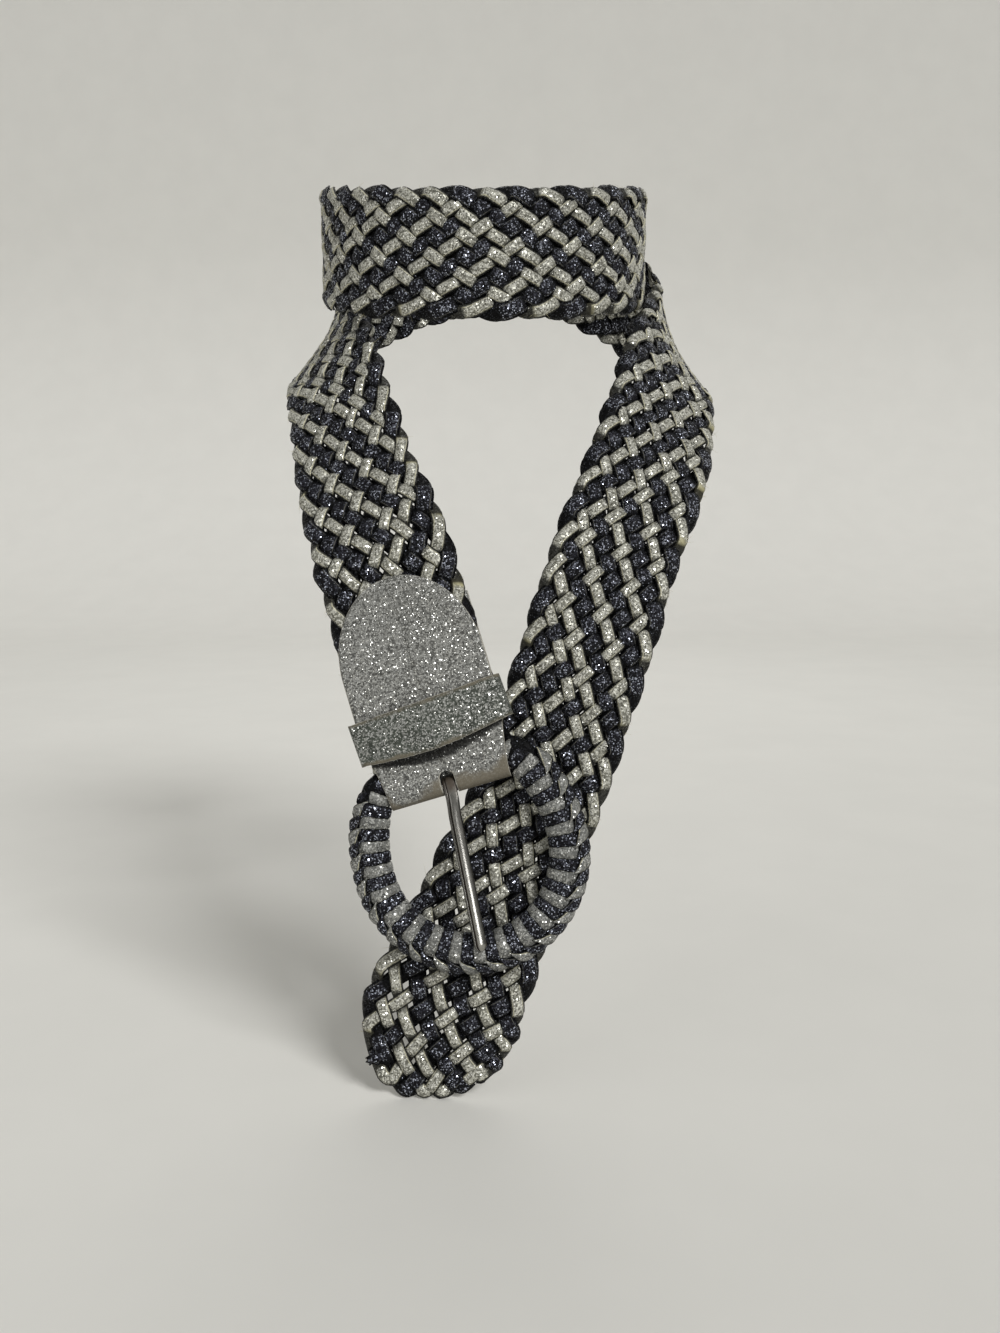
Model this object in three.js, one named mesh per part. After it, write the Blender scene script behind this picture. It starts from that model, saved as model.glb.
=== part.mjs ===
// A braided belt worn as a neck piece: wound once round the neck, with its buckle end and its free end
// hanging down the chest. Millimetres, +Z up, the wearer's throat faces -Y.
// The origin is on the axis of the neck, level with the middle of the band at the throat.
import * as THREE from 'three';

// Driving dimensions
const NECK_RADIUS = 62;
const NECK_SLACK = 5;
const BAND_RISE = 40;
const TURN_GAP = 1.8;

const STRAP_WIDTH = 50;
const STRAP_THICKNESS = 3;
const EDGE_PITCH = 12.6;
const EDGE_NOTCH = 1.6;
const TIP_LENGTH = 42;
const TIP_END_WIDTH = 6;

const SHOULDER_REACH = 78;
const BAR_SIDE = -12.7;
const BAR_FORWARD = 118;
const BAR_DROP = 201;
const TAIL_DROP = 112;
const BUCKLE_LEAN = 17;
const CHEST_SLOPE = 10;

const FIT_GAP = 0.35;
const LEATHER = 1.3;
const TAB_LENGTH = 84;
const TAB_WIDTH = 54;
const FOLD_WIDTH = 46;
const TAB_BACK_LENGTH = 68;
const TAB_ROUND_LENGTH = 33;
const TAB_FULL_WIDTH_FROM_BAR = 30;
const SLOT_MARGIN = 2.2;
const STRAP_END_SETBACK = 8;

const KEEPER_WIDTH = 16;
const KEEPER_FROM_BAR = 25;
const KEEPER_TILT = 3;
const KEEPER_BOW = 2.4;
const KEEPER_DROOP = 2.5;

const RING_RADIUS = 36.5;
const RING_HALF_WIDTH = 7.2;
const RING_HALF_DEPTH = 5;
const RING_CENTRE_FROM_BAR = 26.5;
const RING_UPPER_HEIGHT = 46.5;
const BAR_RADIUS = 1.8;
const WRAP_FROM_BAR = 2;
const WRAP_BANDS = 38;
const WRAP_GROOVE = 0.7;
const WRAP_BORE_GAP = 0.5;

const PRONG_LENGTH = 61;
const PRONG_WIDTH = 4.8;
const PRONG_THICKNESS = 2.4;
const PRONG_SHEET = 1.1;
const PRONG_SKEW = 5;

// Worked out from the driving dimensions
const innerTurnRadius = NECK_RADIUS + NECK_SLACK + STRAP_THICKNESS / 2;
const turnStep = STRAP_THICKNESS + TURN_GAP;
const foldInside = Math.max(BAR_RADIUS, STRAP_THICKNESS / 2) + FIT_GAP;
const foldOutside = foldInside + LEATHER;
const keeperInside = foldOutside + FIT_GAP;
const keeperOutside = keeperInside + LEATHER;
const barHeightAngle = Math.asin(RING_CENTRE_FROM_BAR / RING_UPPER_HEIGHT);
const barHalfLength = RING_RADIUS * Math.cos(barHeightAngle);
const slotHalfWidth = PRONG_WIDTH / 2 + FIT_GAP;
const loopRadius = BAR_RADIUS + FIT_GAP + PRONG_SHEET / 2;
const behindBuckle = Math.max(keeperOutside, RING_HALF_DEPTH) + 2 * FIT_GAP + STRAP_THICKNESS / 2;

const radians = THREE.MathUtils.degToRad;
const FULL_TURN = 360;

// How finely the round forms are cut
const WIRE_SIDES = 8;
const WRAP_SIDES = 12;
const ARC_STEPS = 34;

// The buckle's own frame: x along the bar, y up the tab, z out of its face, origin on the bar's axis
const lean = radians(BUCKLE_LEAN);
const slope = radians(CHEST_SLOPE);
const alongBar = new THREE.Vector3(Math.cos(lean), 0, Math.sin(lean));
const upTab = new THREE.Vector3(
  -Math.sin(lean) * Math.cos(slope),
  Math.sin(slope),
  Math.cos(lean) * Math.cos(slope),
);
const outOfFace = new THREE.Vector3().crossVectors(alongBar, upTab);
const buckleFrame = new THREE.Matrix4()
  .makeBasis(alongBar, upTab, outOfFace)
  .setPosition(BAR_SIDE, -BAR_FORWARD, -BAR_DROP);
const fromBuckle = (x, y, z) => new THREE.Vector3(x, y, z).applyMatrix4(buckleFrame);
const buckleTurn = THREE.MathUtils.radToDeg(Math.atan2(outOfFace.x, -outOfFace.y));
const buckleLift = THREE.MathUtils.radToDeg(Math.asin(outOfFace.z));
const TWO_TURNS = -2 * FULL_TURN;

// Turns on the neck. turn is degrees round it from the throat, lay counts strap layers out from the first,
// swell is a share of the first turn's radius, rise a share of BAND_RISE, lift the face's tilt in degrees
const NECK_ROWS = [
  { turn: -138, lay: 0, swell: 0, rise: 0.42, lift: 5 },
  { turn: -180, lay: 0, swell: 0, rise: 0.74, lift: 0 },
  { turn: -225, lay: 0.1, swell: 0, rise: 0.8, lift: 0 },
  { turn: -270, lay: 0.4, swell: 0, rise: 0.5, lift: 0 },
  { turn: -315, lay: 0.6, swell: 0, rise: 0.15, lift: 0 },
  { turn: -360, lay: 0.7, swell: 0, rise: 0, lift: 0 },
  { turn: -405, lay: 0.85, swell: 0, rise: 0.15, lift: 0 },
  { turn: -450, lay: 1, swell: 0, rise: 0.5, lift: 0 },
  { turn: -495, lay: 1.15, swell: 0, rise: 0.78, lift: 0 },
  { turn: -540, lay: 1, swell: 0.02, rise: 0.76, lift: 0 },
  { turn: -580, lay: 1, swell: 0.05, rise: 0.55, lift: 3 },
];

// Over each shoulder and down the chest. side is a share of SHOULDER_REACH, forward of BAR_FORWARD,
// down of BAR_DROP, turn and lift aim the face, spread is a share of STRAP_WIDTH
const LEFT_ROWS = [
  { side: -0.645, forward: 0.725, down: 0.435, turn: -17, lift: 27, spread: 1.01 },
  { side: -0.785, forward: 0.525, down: 0.273, turn: -38, lift: 36, spread: 0.97 },
  { side: -0.875, forward: 0.33, down: 0.182, turn: -54, lift: 40, spread: 0.98 },
  { side: -0.95, forward: 0.08, down: 0.124, turn: -72, lift: 37, spread: 1 },
  { side: -0.935, forward: -0.145, down: 0.075, turn: -103, lift: 27, spread: 1 },
];
const RIGHT_ROWS = [
  { side: 1.04, forward: -0.2, down: 0.05, turn: -616, lift: 14, spread: 1 },
  { side: 1.09, forward: 0.08, down: 0.13, turn: -645, lift: 30, spread: 1 },
  { side: 1.03, forward: 0.31, down: 0.19, turn: -668, lift: 38, spread: 1 },
  { side: 0.93, forward: 0.525, down: 0.312, turn: -690, lift: 36, spread: 1 },
  { side: 0.805, forward: 0.69, down: 0.436, turn: -708, lift: 29, spread: 1 },
  { side: 0.635, forward: 0.81, down: 0.59, turn: -714, lift: 19, spread: 1 },
];

// Behind the buckle to the free end, in the buckle's frame. across is a share of STRAP_WIDTH, down of
// TAIL_DROP
const TAIL_ROWS = [
  { across: 1.3, down: -0.32, spread: 1 },
  { across: 0.97, down: -0.11, spread: 1 },
  { across: 0.62, down: 0.12, spread: 1 },
  { across: 0.15, down: 0.35, spread: 1.04 },
  { across: -0.25, down: 0.56, spread: 1.12 },
  { across: -0.54, down: 0.71, spread: 1.22 },
  { across: -0.74, down: 0.86, spread: 1.26 },
  { across: -0.84, down: 0.99, spread: 1.26 },
];

const station = (place, turn, lift, spread) => ({ place, aim: new THREE.Vector3(turn, lift, spread) });

function neckStation(row) {
  const radius = innerTurnRadius * (1 + row.swell) + row.lay * turnStep;
  const angle = radians(row.turn);
  const place = new THREE.Vector3(radius * Math.sin(angle), -radius * Math.cos(angle), row.rise * BAND_RISE);
  return station(place, row.turn, row.lift, 1);
}

function dropStation(row) {
  const place = new THREE.Vector3(
    row.side * SHOULDER_REACH,
    -row.forward * BAR_FORWARD,
    -row.down * BAR_DROP,
  );
  return station(place, row.turn, row.lift, row.spread);
}

const tabSpread = TAB_WIDTH / STRAP_WIDTH;

function tabStation(fromBar) {
  return station(fromBuckle(0, fromBar, 0), buckleTurn, buckleLift, tabSpread);
}

function tailStation(row) {
  const place = fromBuckle(row.across * STRAP_WIDTH, -row.down * TAIL_DROP, -behindBuckle);
  return station(place, TWO_TURNS + buckleTurn, buckleLift, row.spread);
}

// The strap runs straight inside the tab and a little past it, as shares of TAB_LENGTH
const TAB_STOPS = [0.4, 0.75, 0.98, 1.13];

const stations = [
  tabStation(STRAP_END_SETBACK),
  ...TAB_STOPS.map((share) => tabStation(share * TAB_LENGTH)),
  ...LEFT_ROWS.map(dropStation),
  ...NECK_ROWS.map(neckStation),
  ...RIGHT_ROWS.map(dropStation),
  ...TAIL_ROWS.map(tailStation),
];

const middleLine = new THREE.CatmullRomCurve3(stations.map((stop) => stop.place), false, 'catmullrom', 0.5);
middleLine.arcLengthDivisions = 1200;
const aimLine = new THREE.CatmullRomCurve3(stations.map((stop) => stop.aim), false, 'catmullrom', 0.5);

// Middle, across and out-of-face directions of the strap, and its half width, at a share of its length
function strapFrame(share) {
  const t = middleLine.getUtoTmapping(share);
  const middle = middleLine.getPoint(t);
  const along = middleLine.getTangent(t);
  const aim = aimLine.getPoint(t);
  const turn = radians(aim.x);
  const lift = radians(aim.y);
  const face = new THREE.Vector3(
    Math.sin(turn) * Math.cos(lift),
    -Math.cos(turn) * Math.cos(lift),
    Math.sin(lift),
  );
  face.addScaledVector(along, -face.dot(along)).normalize();
  const across = new THREE.Vector3().crossVectors(face, along).normalize();
  return { middle, across, face, halfWidth: (STRAP_WIDTH / 2) * aim.z };
}

// A body skinned over loops of points that all have the same count. Open runs get flat caps.
function skin(loops, { closed = false } = {}) {
  const count = loops[0].length;
  const positions = loops.flat().flatMap((point) => point.toArray());
  const index = [];
  const spans = closed ? loops.length : loops.length - 1;
  for (let i = 0; i < spans; i += 1) {
    const here = i * count;
    const next = ((i + 1) % loops.length) * count;
    for (let j = 0; j < count; j += 1) {
      const k = (j + 1) % count;
      index.push(here + j, here + k, next + k, here + j, next + k, next + j);
    }
  }
  if (!closed) {
    capLoop(loops[0], 0, false, index);
    capLoop(loops[loops.length - 1], (loops.length - 1) * count, true, index);
  }
  return solid(positions, index);
}

// Flat cap over a loop, laid as a strip from one side to the other
function capLoop(loop, base, forward, index) {
  let low = 0;
  let high = loop.length - 1;
  let fromLow = true;
  while (high - low > 1) {
    const middle = fromLow ? low + 1 : high - 1;
    const face = [base + low, base + middle, base + high];
    index.push(...(forward ? face : face.reverse()));
    if (fromLow) {
      low = middle;
    } else {
      high = middle;
    }
    fromLow = !fromLow;
  }
}

// A geometry whose faces point out, whichever way round they were listed
function solid(positions, index) {
  const geometry = new THREE.BufferGeometry();
  geometry.setAttribute('position', new THREE.Float32BufferAttribute(positions, 3));
  const corner = (i) => new THREE.Vector3().fromArray(positions, 3 * i);
  let volume = 0;
  for (let i = 0; i < index.length; i += 3) {
    volume += corner(index[i]).dot(corner(index[i + 1]).cross(corner(index[i + 2])));
  }
  geometry.setIndex(volume < 0 ? index.reverse() : index);
  geometry.computeVertexNormals();
  return geometry;
}

// A sheet of even thickness over a grid of rows. Each grid point has a place and a normal; kept(i, j) says
// which cells are filled, and around joins the last column back to the first
function sheet(grid, thickness, { kept = () => true, around = false } = {}) {
  const rows = grid.length;
  const columns = grid[0].length;
  const positions = [];
  for (const side of [0.5, -0.5]) {
    for (const point of grid.flat()) {
      positions.push(...point.place.clone().addScaledVector(point.normal, side * thickness).toArray());
    }
  }
  const cellColumns = around ? columns : columns - 1;
  const filled = (i, j) => {
    const inside = i >= 0 && i < rows - 1 && (around || (j >= 0 && j < cellColumns));
    return inside && kept(i, (j + cellColumns) % cellColumns);
  };
  const front = (i, j) => i * columns + (j % columns);
  const rear = (i, j) => front(i, j) + rows * columns;
  const index = [];
  const wall = (i0, j0, i1, j1) => {
    index.push(front(i0, j0), rear(i0, j0), rear(i1, j1), front(i0, j0), rear(i1, j1), front(i1, j1));
  };
  for (let i = 0; i < rows - 1; i += 1) {
    for (let j = 0; j < cellColumns; j += 1) {
      if (!filled(i, j)) {
        continue;
      }
      index.push(front(i, j), front(i + 1, j), front(i + 1, j + 1));
      index.push(front(i, j), front(i + 1, j + 1), front(i, j + 1));
      index.push(rear(i, j), rear(i + 1, j + 1), rear(i + 1, j));
      index.push(rear(i, j), rear(i, j + 1), rear(i + 1, j + 1));
      if (!filled(i - 1, j)) {
        wall(i, j + 1, i, j);
      }
      if (!filled(i + 1, j)) {
        wall(i + 1, j, i + 1, j + 1);
      }
      if (!filled(i, j - 1)) {
        wall(i, j, i + 1, j);
      }
      if (!filled(i, j + 1)) {
        wall(i + 1, j + 1, i, j + 1);
      }
    }
  }
  return solid(positions, index);
}

// The braid, one solid: a flat band with notched edges that rounds off at its free end.
// across and thick are shares of the half width and half thickness round one section
const STRAP_SECTION = [
  { across: -1, thick: 0 },
  { across: -0.93, thick: 1 },
  { across: -0.34, thick: 1 },
  { across: 0.34, thick: 1 },
  { across: 0.93, thick: 1 },
  { across: 1, thick: 0 },
  { across: 0.93, thick: -1 },
  { across: 0.34, thick: -1 },
  { across: -0.34, thick: -1 },
  { across: -0.93, thick: -1 },
];

// Share of the width that is left near the free end, which is rounder than a half circle
const TIP_CURVE = { along: 2.6, across: 2.2 };

function tipShare(toEnd) {
  const past = Math.max(0, 1 - toEnd / TIP_LENGTH);
  const round = (1 - past ** TIP_CURVE.along) ** (1 / TIP_CURVE.across);
  return Math.max(TIP_END_WIDTH / STRAP_WIDTH, round);
}

function braidedStrap() {
  const length = middleLine.getLength();
  const steps = 2 * Math.round(length / EDGE_PITCH);
  const loops = [];
  for (let i = 0; i <= steps; i += 1) {
    const { middle, across, face, halfWidth } = strapFrame(i / steps);
    const tip = tipShare(((steps - i) * length) / steps);
    loops.push(STRAP_SECTION.map((corner) => {
      const notched = (corner.across > 0) === (i % 2 === 0);
      const reach = halfWidth * tip - (notched ? EDGE_NOTCH * Math.min(1, tip * 2) : 0);
      return middle.clone()
        .addScaledVector(across, corner.across * reach)
        .addScaledVector(face, (corner.thick * STRAP_THICKNESS) / 2);
    }));
  }
  return skin(loops);
}

// Half width of the tab at a height above the bar: narrow at the fold, full further up
function tabHalfWidth(fromBar) {
  const opened = THREE.MathUtils.smoothstep(fromBar, -foldOutside, TAB_FULL_WIDTH_FROM_BAR);
  return THREE.MathUtils.lerp(FOLD_WIDTH, TAB_WIDTH, opened) / 2;
}

// The leather tab: up the front to a round top, round the bar and up the back, slotted for the prong
function endTab() {
  const middle = foldInside + LEATHER / 2;
  const top = TAB_LENGTH - foldOutside;
  const slotTop = foldOutside + SLOT_MARGIN;
  const profile = [];
  const roundSteps = 7;
  for (let k = 0; k <= roundSteps; k += 1) {
    const angle = radians(THREE.MathUtils.lerp(8, 90, k / roundSteps));
    const height = top - TAB_ROUND_LENGTH * (1 - Math.cos(angle));
    profile.push({ y: height, z: middle, out: 1, half: (TAB_WIDTH / 2) * Math.sin(angle) });
  }
  const frontRows = 10;
  const straightTop = top - TAB_ROUND_LENGTH;
  for (let k = 1; k <= frontRows; k += 1) {
    const height = THREE.MathUtils.lerp(straightTop, slotTop, k / frontRows);
    profile.push({ y: height, z: middle, out: 1, half: tabHalfWidth(height) });
  }
  const foldSteps = 8;
  for (let k = 0; k <= foldSteps; k += 1) {
    const angle = (Math.PI * k) / foldSteps;
    const y = -middle * Math.sin(angle);
    profile.push({ y, z: middle * Math.cos(angle), out: Math.cos(angle), half: tabHalfWidth(y) });
  }
  const backRows = 9;
  for (let k = 0; k <= backRows; k += 1) {
    const height = THREE.MathUtils.lerp(slotTop, TAB_BACK_LENGTH, k / backRows);
    profile.push({ y: height, z: -middle, out: -1, half: tabHalfWidth(height) });
  }
  const slotFirst = roundSteps + frontRows;
  const slotLast = slotFirst + foldSteps + 2;
  const sideShares = [1, 0.66, 0.33];
  const slotColumn = sideShares.length;
  const grid = profile.map((stop) => {
    const down = -Math.sqrt(1 - Math.min(1, stop.out ** 2));
    const normal = new THREE.Vector3(0, down, stop.out).transformDirection(buckleFrame);
    const slotEdge = Math.min(slotHalfWidth, stop.half * 0.3);
    const right = [slotEdge, ...sideShares.map((share) => share * stop.half).reverse()];
    const left = right.map((x) => -x).reverse();
    return [...left, ...right].map((x) => ({ place: fromBuckle(x, stop.y, stop.z), normal }));
  });
  const kept = (i, j) => !(j === slotColumn && i >= slotFirst && i < slotLast);
  return sheet(grid, LEATHER, { kept });
}

// The keeper: a closed leather loop round the tab, its front bowed away at the lower edge
function keeperLoop() {
  const middle = keeperInside + LEATHER / 2;
  const tilt = radians(KEEPER_TILT);
  const sway = (KEEPER_WIDTH / 2) * Math.sin(tilt);
  const half = tabHalfWidth(KEEPER_FROM_BAR + KEEPER_WIDTH / 2) + FIT_GAP + LEATHER / 2 + sway;
  const outline = [];
  const flatSteps = 7;
  const cornerSteps = 3;
  for (let k = 0; k <= flatSteps; k += 1) {
    const x = THREE.MathUtils.lerp(-half, half, k / flatSteps);
    outline.push({ x, z: middle, out: new THREE.Vector2(0, 1), bow: Math.sin((Math.PI * k) / flatSteps) });
  }
  for (let k = 1; k <= cornerSteps; k += 1) {
    const angle = Math.PI / 2 - (Math.PI * k) / (cornerSteps + 1);
    const out = new THREE.Vector2(Math.cos(angle), Math.sin(angle));
    outline.push({ x: half + middle * 0.2 * out.x, z: middle * out.y, out, bow: 0 });
  }
  for (let k = 0; k <= flatSteps; k += 1) {
    const x = THREE.MathUtils.lerp(half, -half, k / flatSteps);
    outline.push({ x, z: -middle, out: new THREE.Vector2(0, -1), bow: 0 });
  }
  for (let k = 1; k <= cornerSteps; k += 1) {
    const angle = -Math.PI / 2 - (Math.PI * k) / (cornerSteps + 1);
    const out = new THREE.Vector2(Math.cos(angle), Math.sin(angle));
    outline.push({ x: -half + middle * 0.2 * out.x, z: middle * out.y, out, bow: 0 });
  }
  const rows = 4;
  const grid = [];
  for (let i = 0; i <= rows; i += 1) {
    const low = i / rows;
    const height = KEEPER_WIDTH * (0.5 - low);
    grid.push(outline.map((stop) => {
      const y = height - KEEPER_DROOP * low * stop.bow;
      const z = stop.z + KEEPER_BOW * stop.bow * (0.2 + 0.8 * low);
      const x = stop.x * Math.cos(tilt) - y * Math.sin(tilt);
      const up = stop.x * Math.sin(tilt) + y * Math.cos(tilt) + KEEPER_FROM_BAR;
      const normal = new THREE.Vector3(stop.out.x, 0, stop.out.y).transformDirection(buckleFrame);
      return { place: fromBuckle(x, up, z), normal };
    }));
  }
  return sheet(grid, LEATHER, { around: true });
}

// The ring's middle line, from the bar's right end round the bottom to its left end: a half circle below,
// and above it on each side a part of a taller ellipse, which leaves the limbs nearly straight at the bar
function ringMiddleLine() {
  const upper = [0, -RING_CENTRE_FROM_BAR, RING_RADIUS, RING_UPPER_HEIGHT];
  const line = new THREE.CurvePath();
  line.add(new THREE.EllipseCurve(...upper, barHeightAngle, 0, true));
  line.add(new THREE.EllipseCurve(0, -RING_CENTRE_FROM_BAR, RING_RADIUS, RING_RADIUS, 0, Math.PI, true));
  line.add(new THREE.EllipseCurve(...upper, Math.PI, Math.PI - barHeightAngle, true));
  return line;
}
const ringLine = ringMiddleLine();

// Place and outward direction at a share of the ring's middle line
function onRing(share) {
  const middle = ringLine.getPoint(share);
  const along = ringLine.getTangent(share);
  return { place: new THREE.Vector3(middle.x, middle.y, 0), out: new THREE.Vector3(-along.y, along.x, 0) };
}

// A loop of points round the ring's middle line
function ringSection(share, halfWidth, halfDepth, sides) {
  const { place, out } = onRing(share);
  const loop = [];
  for (let k = 0; k < sides; k += 1) {
    const angle = (2 * Math.PI * (k + 0.5)) / sides;
    const point = place.clone().addScaledVector(out, halfWidth * Math.cos(angle));
    point.z += halfDepth * Math.sin(angle);
    loop.push(point.applyMatrix4(buckleFrame));
  }
  return loop;
}

// The metal frame: a round bar that closes an arc of round wire
function buckleFrameCore() {
  const loops = [];
  for (let k = 0; k <= ARC_STEPS; k += 1) {
    loops.push(ringSection(k / ARC_STEPS, BAR_RADIUS, BAR_RADIUS, WIRE_SIDES));
  }
  const barSteps = 4;
  for (let k = 1; k < barSteps; k += 1) {
    const x = THREE.MathUtils.lerp(-barHalfLength, barHalfLength, k / barSteps);
    loops.push(barSection(x));
  }
  return skin(loops, { closed: true });
}

// A loop round the bar, listed so that it follows on from the arc's loops
function barSection(x) {
  const loop = [];
  for (let k = 0; k < WIRE_SIDES; k += 1) {
    const angle = (2 * Math.PI * (k + 0.5)) / WIRE_SIDES;
    loop.push(fromBuckle(x, BAR_RADIUS * Math.cos(angle), BAR_RADIUS * Math.sin(angle)));
  }
  return loop;
}

// The leather wound on the frame: a thick bored tube, grooved between its bands and drawn in at its ends
function frameWrap() {
  const start = WRAP_FROM_BAR / ringLine.getLength();
  const sweep = 1 - 2 * start;
  const bore = BAR_RADIUS + WRAP_BORE_GAP;
  const outer = [];
  for (let k = 0; k <= 2 * WRAP_BANDS; k += 1) {
    const share = k / (2 * WRAP_BANDS);
    const groove = k % 2 === 0 ? WRAP_GROOVE : 0;
    const full = THREE.MathUtils.smoothstep(Math.min(share, 1 - share), -0.03, 0.035);
    const width = THREE.MathUtils.lerp(bore + LEATHER, RING_HALF_WIDTH, full) - groove;
    const depth = THREE.MathUtils.lerp(bore + LEATHER, RING_HALF_DEPTH, full) - groove;
    outer.push(ringSection(start + sweep * share, width, depth, WRAP_SIDES));
  }
  const inner = [];
  for (let k = 0; k <= ARC_STEPS; k += 1) {
    inner.push(ringSection(start + (sweep * k) / ARC_STEPS, bore, bore, WRAP_SIDES).reverse());
  }
  return boredTube(outer, inner, WRAP_SIDES);
}

// Outer and inner walls with ring-shaped ends
function boredTube(outer, inner, sides) {
  const positions = [...outer.flat(), ...inner.flat()].flatMap((point) => point.toArray());
  const index = [];
  const wall = (base, spans) => {
    for (let i = 0; i < spans; i += 1) {
      for (let j = 0; j < sides; j += 1) {
        const a = base + i * sides + j;
        const b = base + i * sides + ((j + 1) % sides);
        index.push(a, b, b + sides, a, b + sides, a + sides);
      }
    }
  };
  const innerBase = outer.length * sides;
  wall(0, outer.length - 1);
  wall(innerBase, inner.length - 1);
  const lastOuter = (outer.length - 1) * sides;
  const lastInner = innerBase + (inner.length - 1) * sides;
  for (let j = 0; j < sides; j += 1) {
    const k = (j + 1) % sides;
    const a = sides - 1 - j;
    const b = sides - 1 - k;
    index.push(k, j, innerBase + a, k, innerBase + a, innerBase + ((b + sides) % sides));
    index.push(lastOuter + j, lastOuter + k, lastInner + ((b + sides) % sides));
    index.push(lastOuter + j, lastInner + ((b + sides) % sides), lastInner + a);
  }
  return solid(positions, index);
}

// Section of the rolled prong: two lobes with a groove between. wide and thick are shares of its half sizes
const PRONG_SECTION = [
  { wide: -1, thick: 0 },
  { wide: -0.86, thick: 0.62 },
  { wide: -0.5, thick: 1 },
  { wide: -0.17, thick: 0.8 },
  { wide: 0, thick: 0.35 },
  { wide: 0.17, thick: 0.8 },
  { wide: 0.5, thick: 1 },
  { wide: 0.86, thick: 0.62 },
  { wide: 1, thick: 0 },
  { wide: 0.76, thick: -0.72 },
  { wide: 0, thick: -1 },
  { wide: -0.76, thick: -0.72 },
];

// The prong: an eye rolled round the bar, then a straight shank that rests on the far limb of the ring
function prong() {
  const stops = [];
  const eyeSteps = 12;
  for (let k = 0; k <= eyeSteps; k += 1) {
    const angle = radians(THREE.MathUtils.lerp(368, 96, k / eyeSteps));
    stops.push({
      x: 0,
      y: -loopRadius * Math.cos(angle),
      z: loopRadius * Math.sin(angle),
      wide: 1,
      thick: PRONG_SHEET,
    });
  }
  const restHeight = RING_HALF_DEPTH + FIT_GAP + PRONG_THICKNESS / 2;
  const shankSteps = [0.04, 0.09, 0.16, 0.4, 0.7, 0.92, 0.97, 0.99, 1];
  for (const share of shankSteps) {
    const down = share * PRONG_LENGTH;
    const swelling = THREE.MathUtils.smoothstep(share, 0, 0.14);
    const ending = Math.sqrt(Math.max(0.06, 1 - Math.max(0, (share - 0.955) / 0.046) ** 2));
    stops.push({
      x: -down * Math.tan(radians(PRONG_SKEW)) * THREE.MathUtils.smoothstep(share, 0, 0.2),
      y: -down,
      z: THREE.MathUtils.lerp(loopRadius, restHeight, share ** 0.8),
      wide: ending,
      thick: THREE.MathUtils.lerp(PRONG_SHEET, PRONG_THICKNESS, swelling) * ending,
    });
  }
  const loops = stops.map((stop, i) => {
    const before = stops[Math.max(0, i - 1)];
    const after = stops[Math.min(stops.length - 1, i + 1)];
    const run = new THREE.Vector2(after.y - before.y, after.z - before.z).normalize();
    return PRONG_SECTION.map((corner) => {
      const lift = (corner.thick * stop.thick) / 2;
      const x = stop.x + (corner.wide * stop.wide * PRONG_WIDTH) / 2;
      return fromBuckle(x, stop.y + lift * run.y, stop.z - lift * run.x);
    });
  });
  return skin(loops);
}

const piece = (name, geometry, color, roughness, metalness) => {
  const mesh = new THREE.Mesh(geometry, new THREE.MeshStandardMaterial({ color, roughness, metalness }));
  mesh.name = name;
  return mesh;
};

const belt = new THREE.Group();
belt.add(
  piece('braided_strap', braidedStrap(), 0x8d8c84, 0.55, 0.2),
  piece('end_tab', endTab(), 0xa3a39d, 0.5, 0.3),
  piece('keeper_loop', keeperLoop(), 0x979790, 0.5, 0.3),
  piece('buckle_frame', buckleFrameCore(), 0xb5b5b5, 0.3, 1),
  piece('frame_wrap', frameWrap(), 0x5d5e66, 0.55, 0.2),
  piece('prong', prong(), 0xc0bdb6, 0.25, 1),
);

export default belt;
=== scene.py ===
"""Braided glitter leather belt in one turn, with its ring buckle hanging in front.

Metres, +Z up, the buckle faces -Y. The frame's solids give the places; the pieces here give the woven
strips, the folded tab, the keeper, the wound ring and the rolled prong."""

import math

import bmesh
import bpy
import numpy as np
from bpy.props import FloatProperty, FloatVectorProperty, IntProperty, PointerProperty
from bpy.types import Operator, Panel, PropertyGroup
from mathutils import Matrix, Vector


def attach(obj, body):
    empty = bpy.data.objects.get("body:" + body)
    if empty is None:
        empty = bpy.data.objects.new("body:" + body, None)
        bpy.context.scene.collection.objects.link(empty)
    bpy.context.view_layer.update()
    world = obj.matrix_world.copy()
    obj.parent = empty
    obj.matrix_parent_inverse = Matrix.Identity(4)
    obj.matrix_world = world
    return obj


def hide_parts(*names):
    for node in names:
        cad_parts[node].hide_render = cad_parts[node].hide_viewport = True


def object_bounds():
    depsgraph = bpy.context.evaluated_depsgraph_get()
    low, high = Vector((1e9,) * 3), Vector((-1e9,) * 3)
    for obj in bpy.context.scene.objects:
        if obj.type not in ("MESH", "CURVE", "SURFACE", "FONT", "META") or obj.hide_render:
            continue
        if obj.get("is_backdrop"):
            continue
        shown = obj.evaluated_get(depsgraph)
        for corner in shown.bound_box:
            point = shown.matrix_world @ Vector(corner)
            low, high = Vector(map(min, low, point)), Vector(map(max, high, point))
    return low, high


bl_info = {
    "name": "Braided Belt",
    "version": (1, 0, 0),
    "blender": (4, 5, 0),
    "location": "3D View > Sidebar > Belt",
    "description": "Makes a braided glitter leather belt with a wound ring buckle",
    "category": "Add Mesh",
}

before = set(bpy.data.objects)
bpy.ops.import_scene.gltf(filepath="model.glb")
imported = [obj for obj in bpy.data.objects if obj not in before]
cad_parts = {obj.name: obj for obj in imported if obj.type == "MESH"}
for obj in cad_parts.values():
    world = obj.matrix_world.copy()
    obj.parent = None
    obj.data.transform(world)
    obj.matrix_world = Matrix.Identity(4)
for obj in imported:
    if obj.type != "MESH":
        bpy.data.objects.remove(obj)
MM = 0.001

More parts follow.
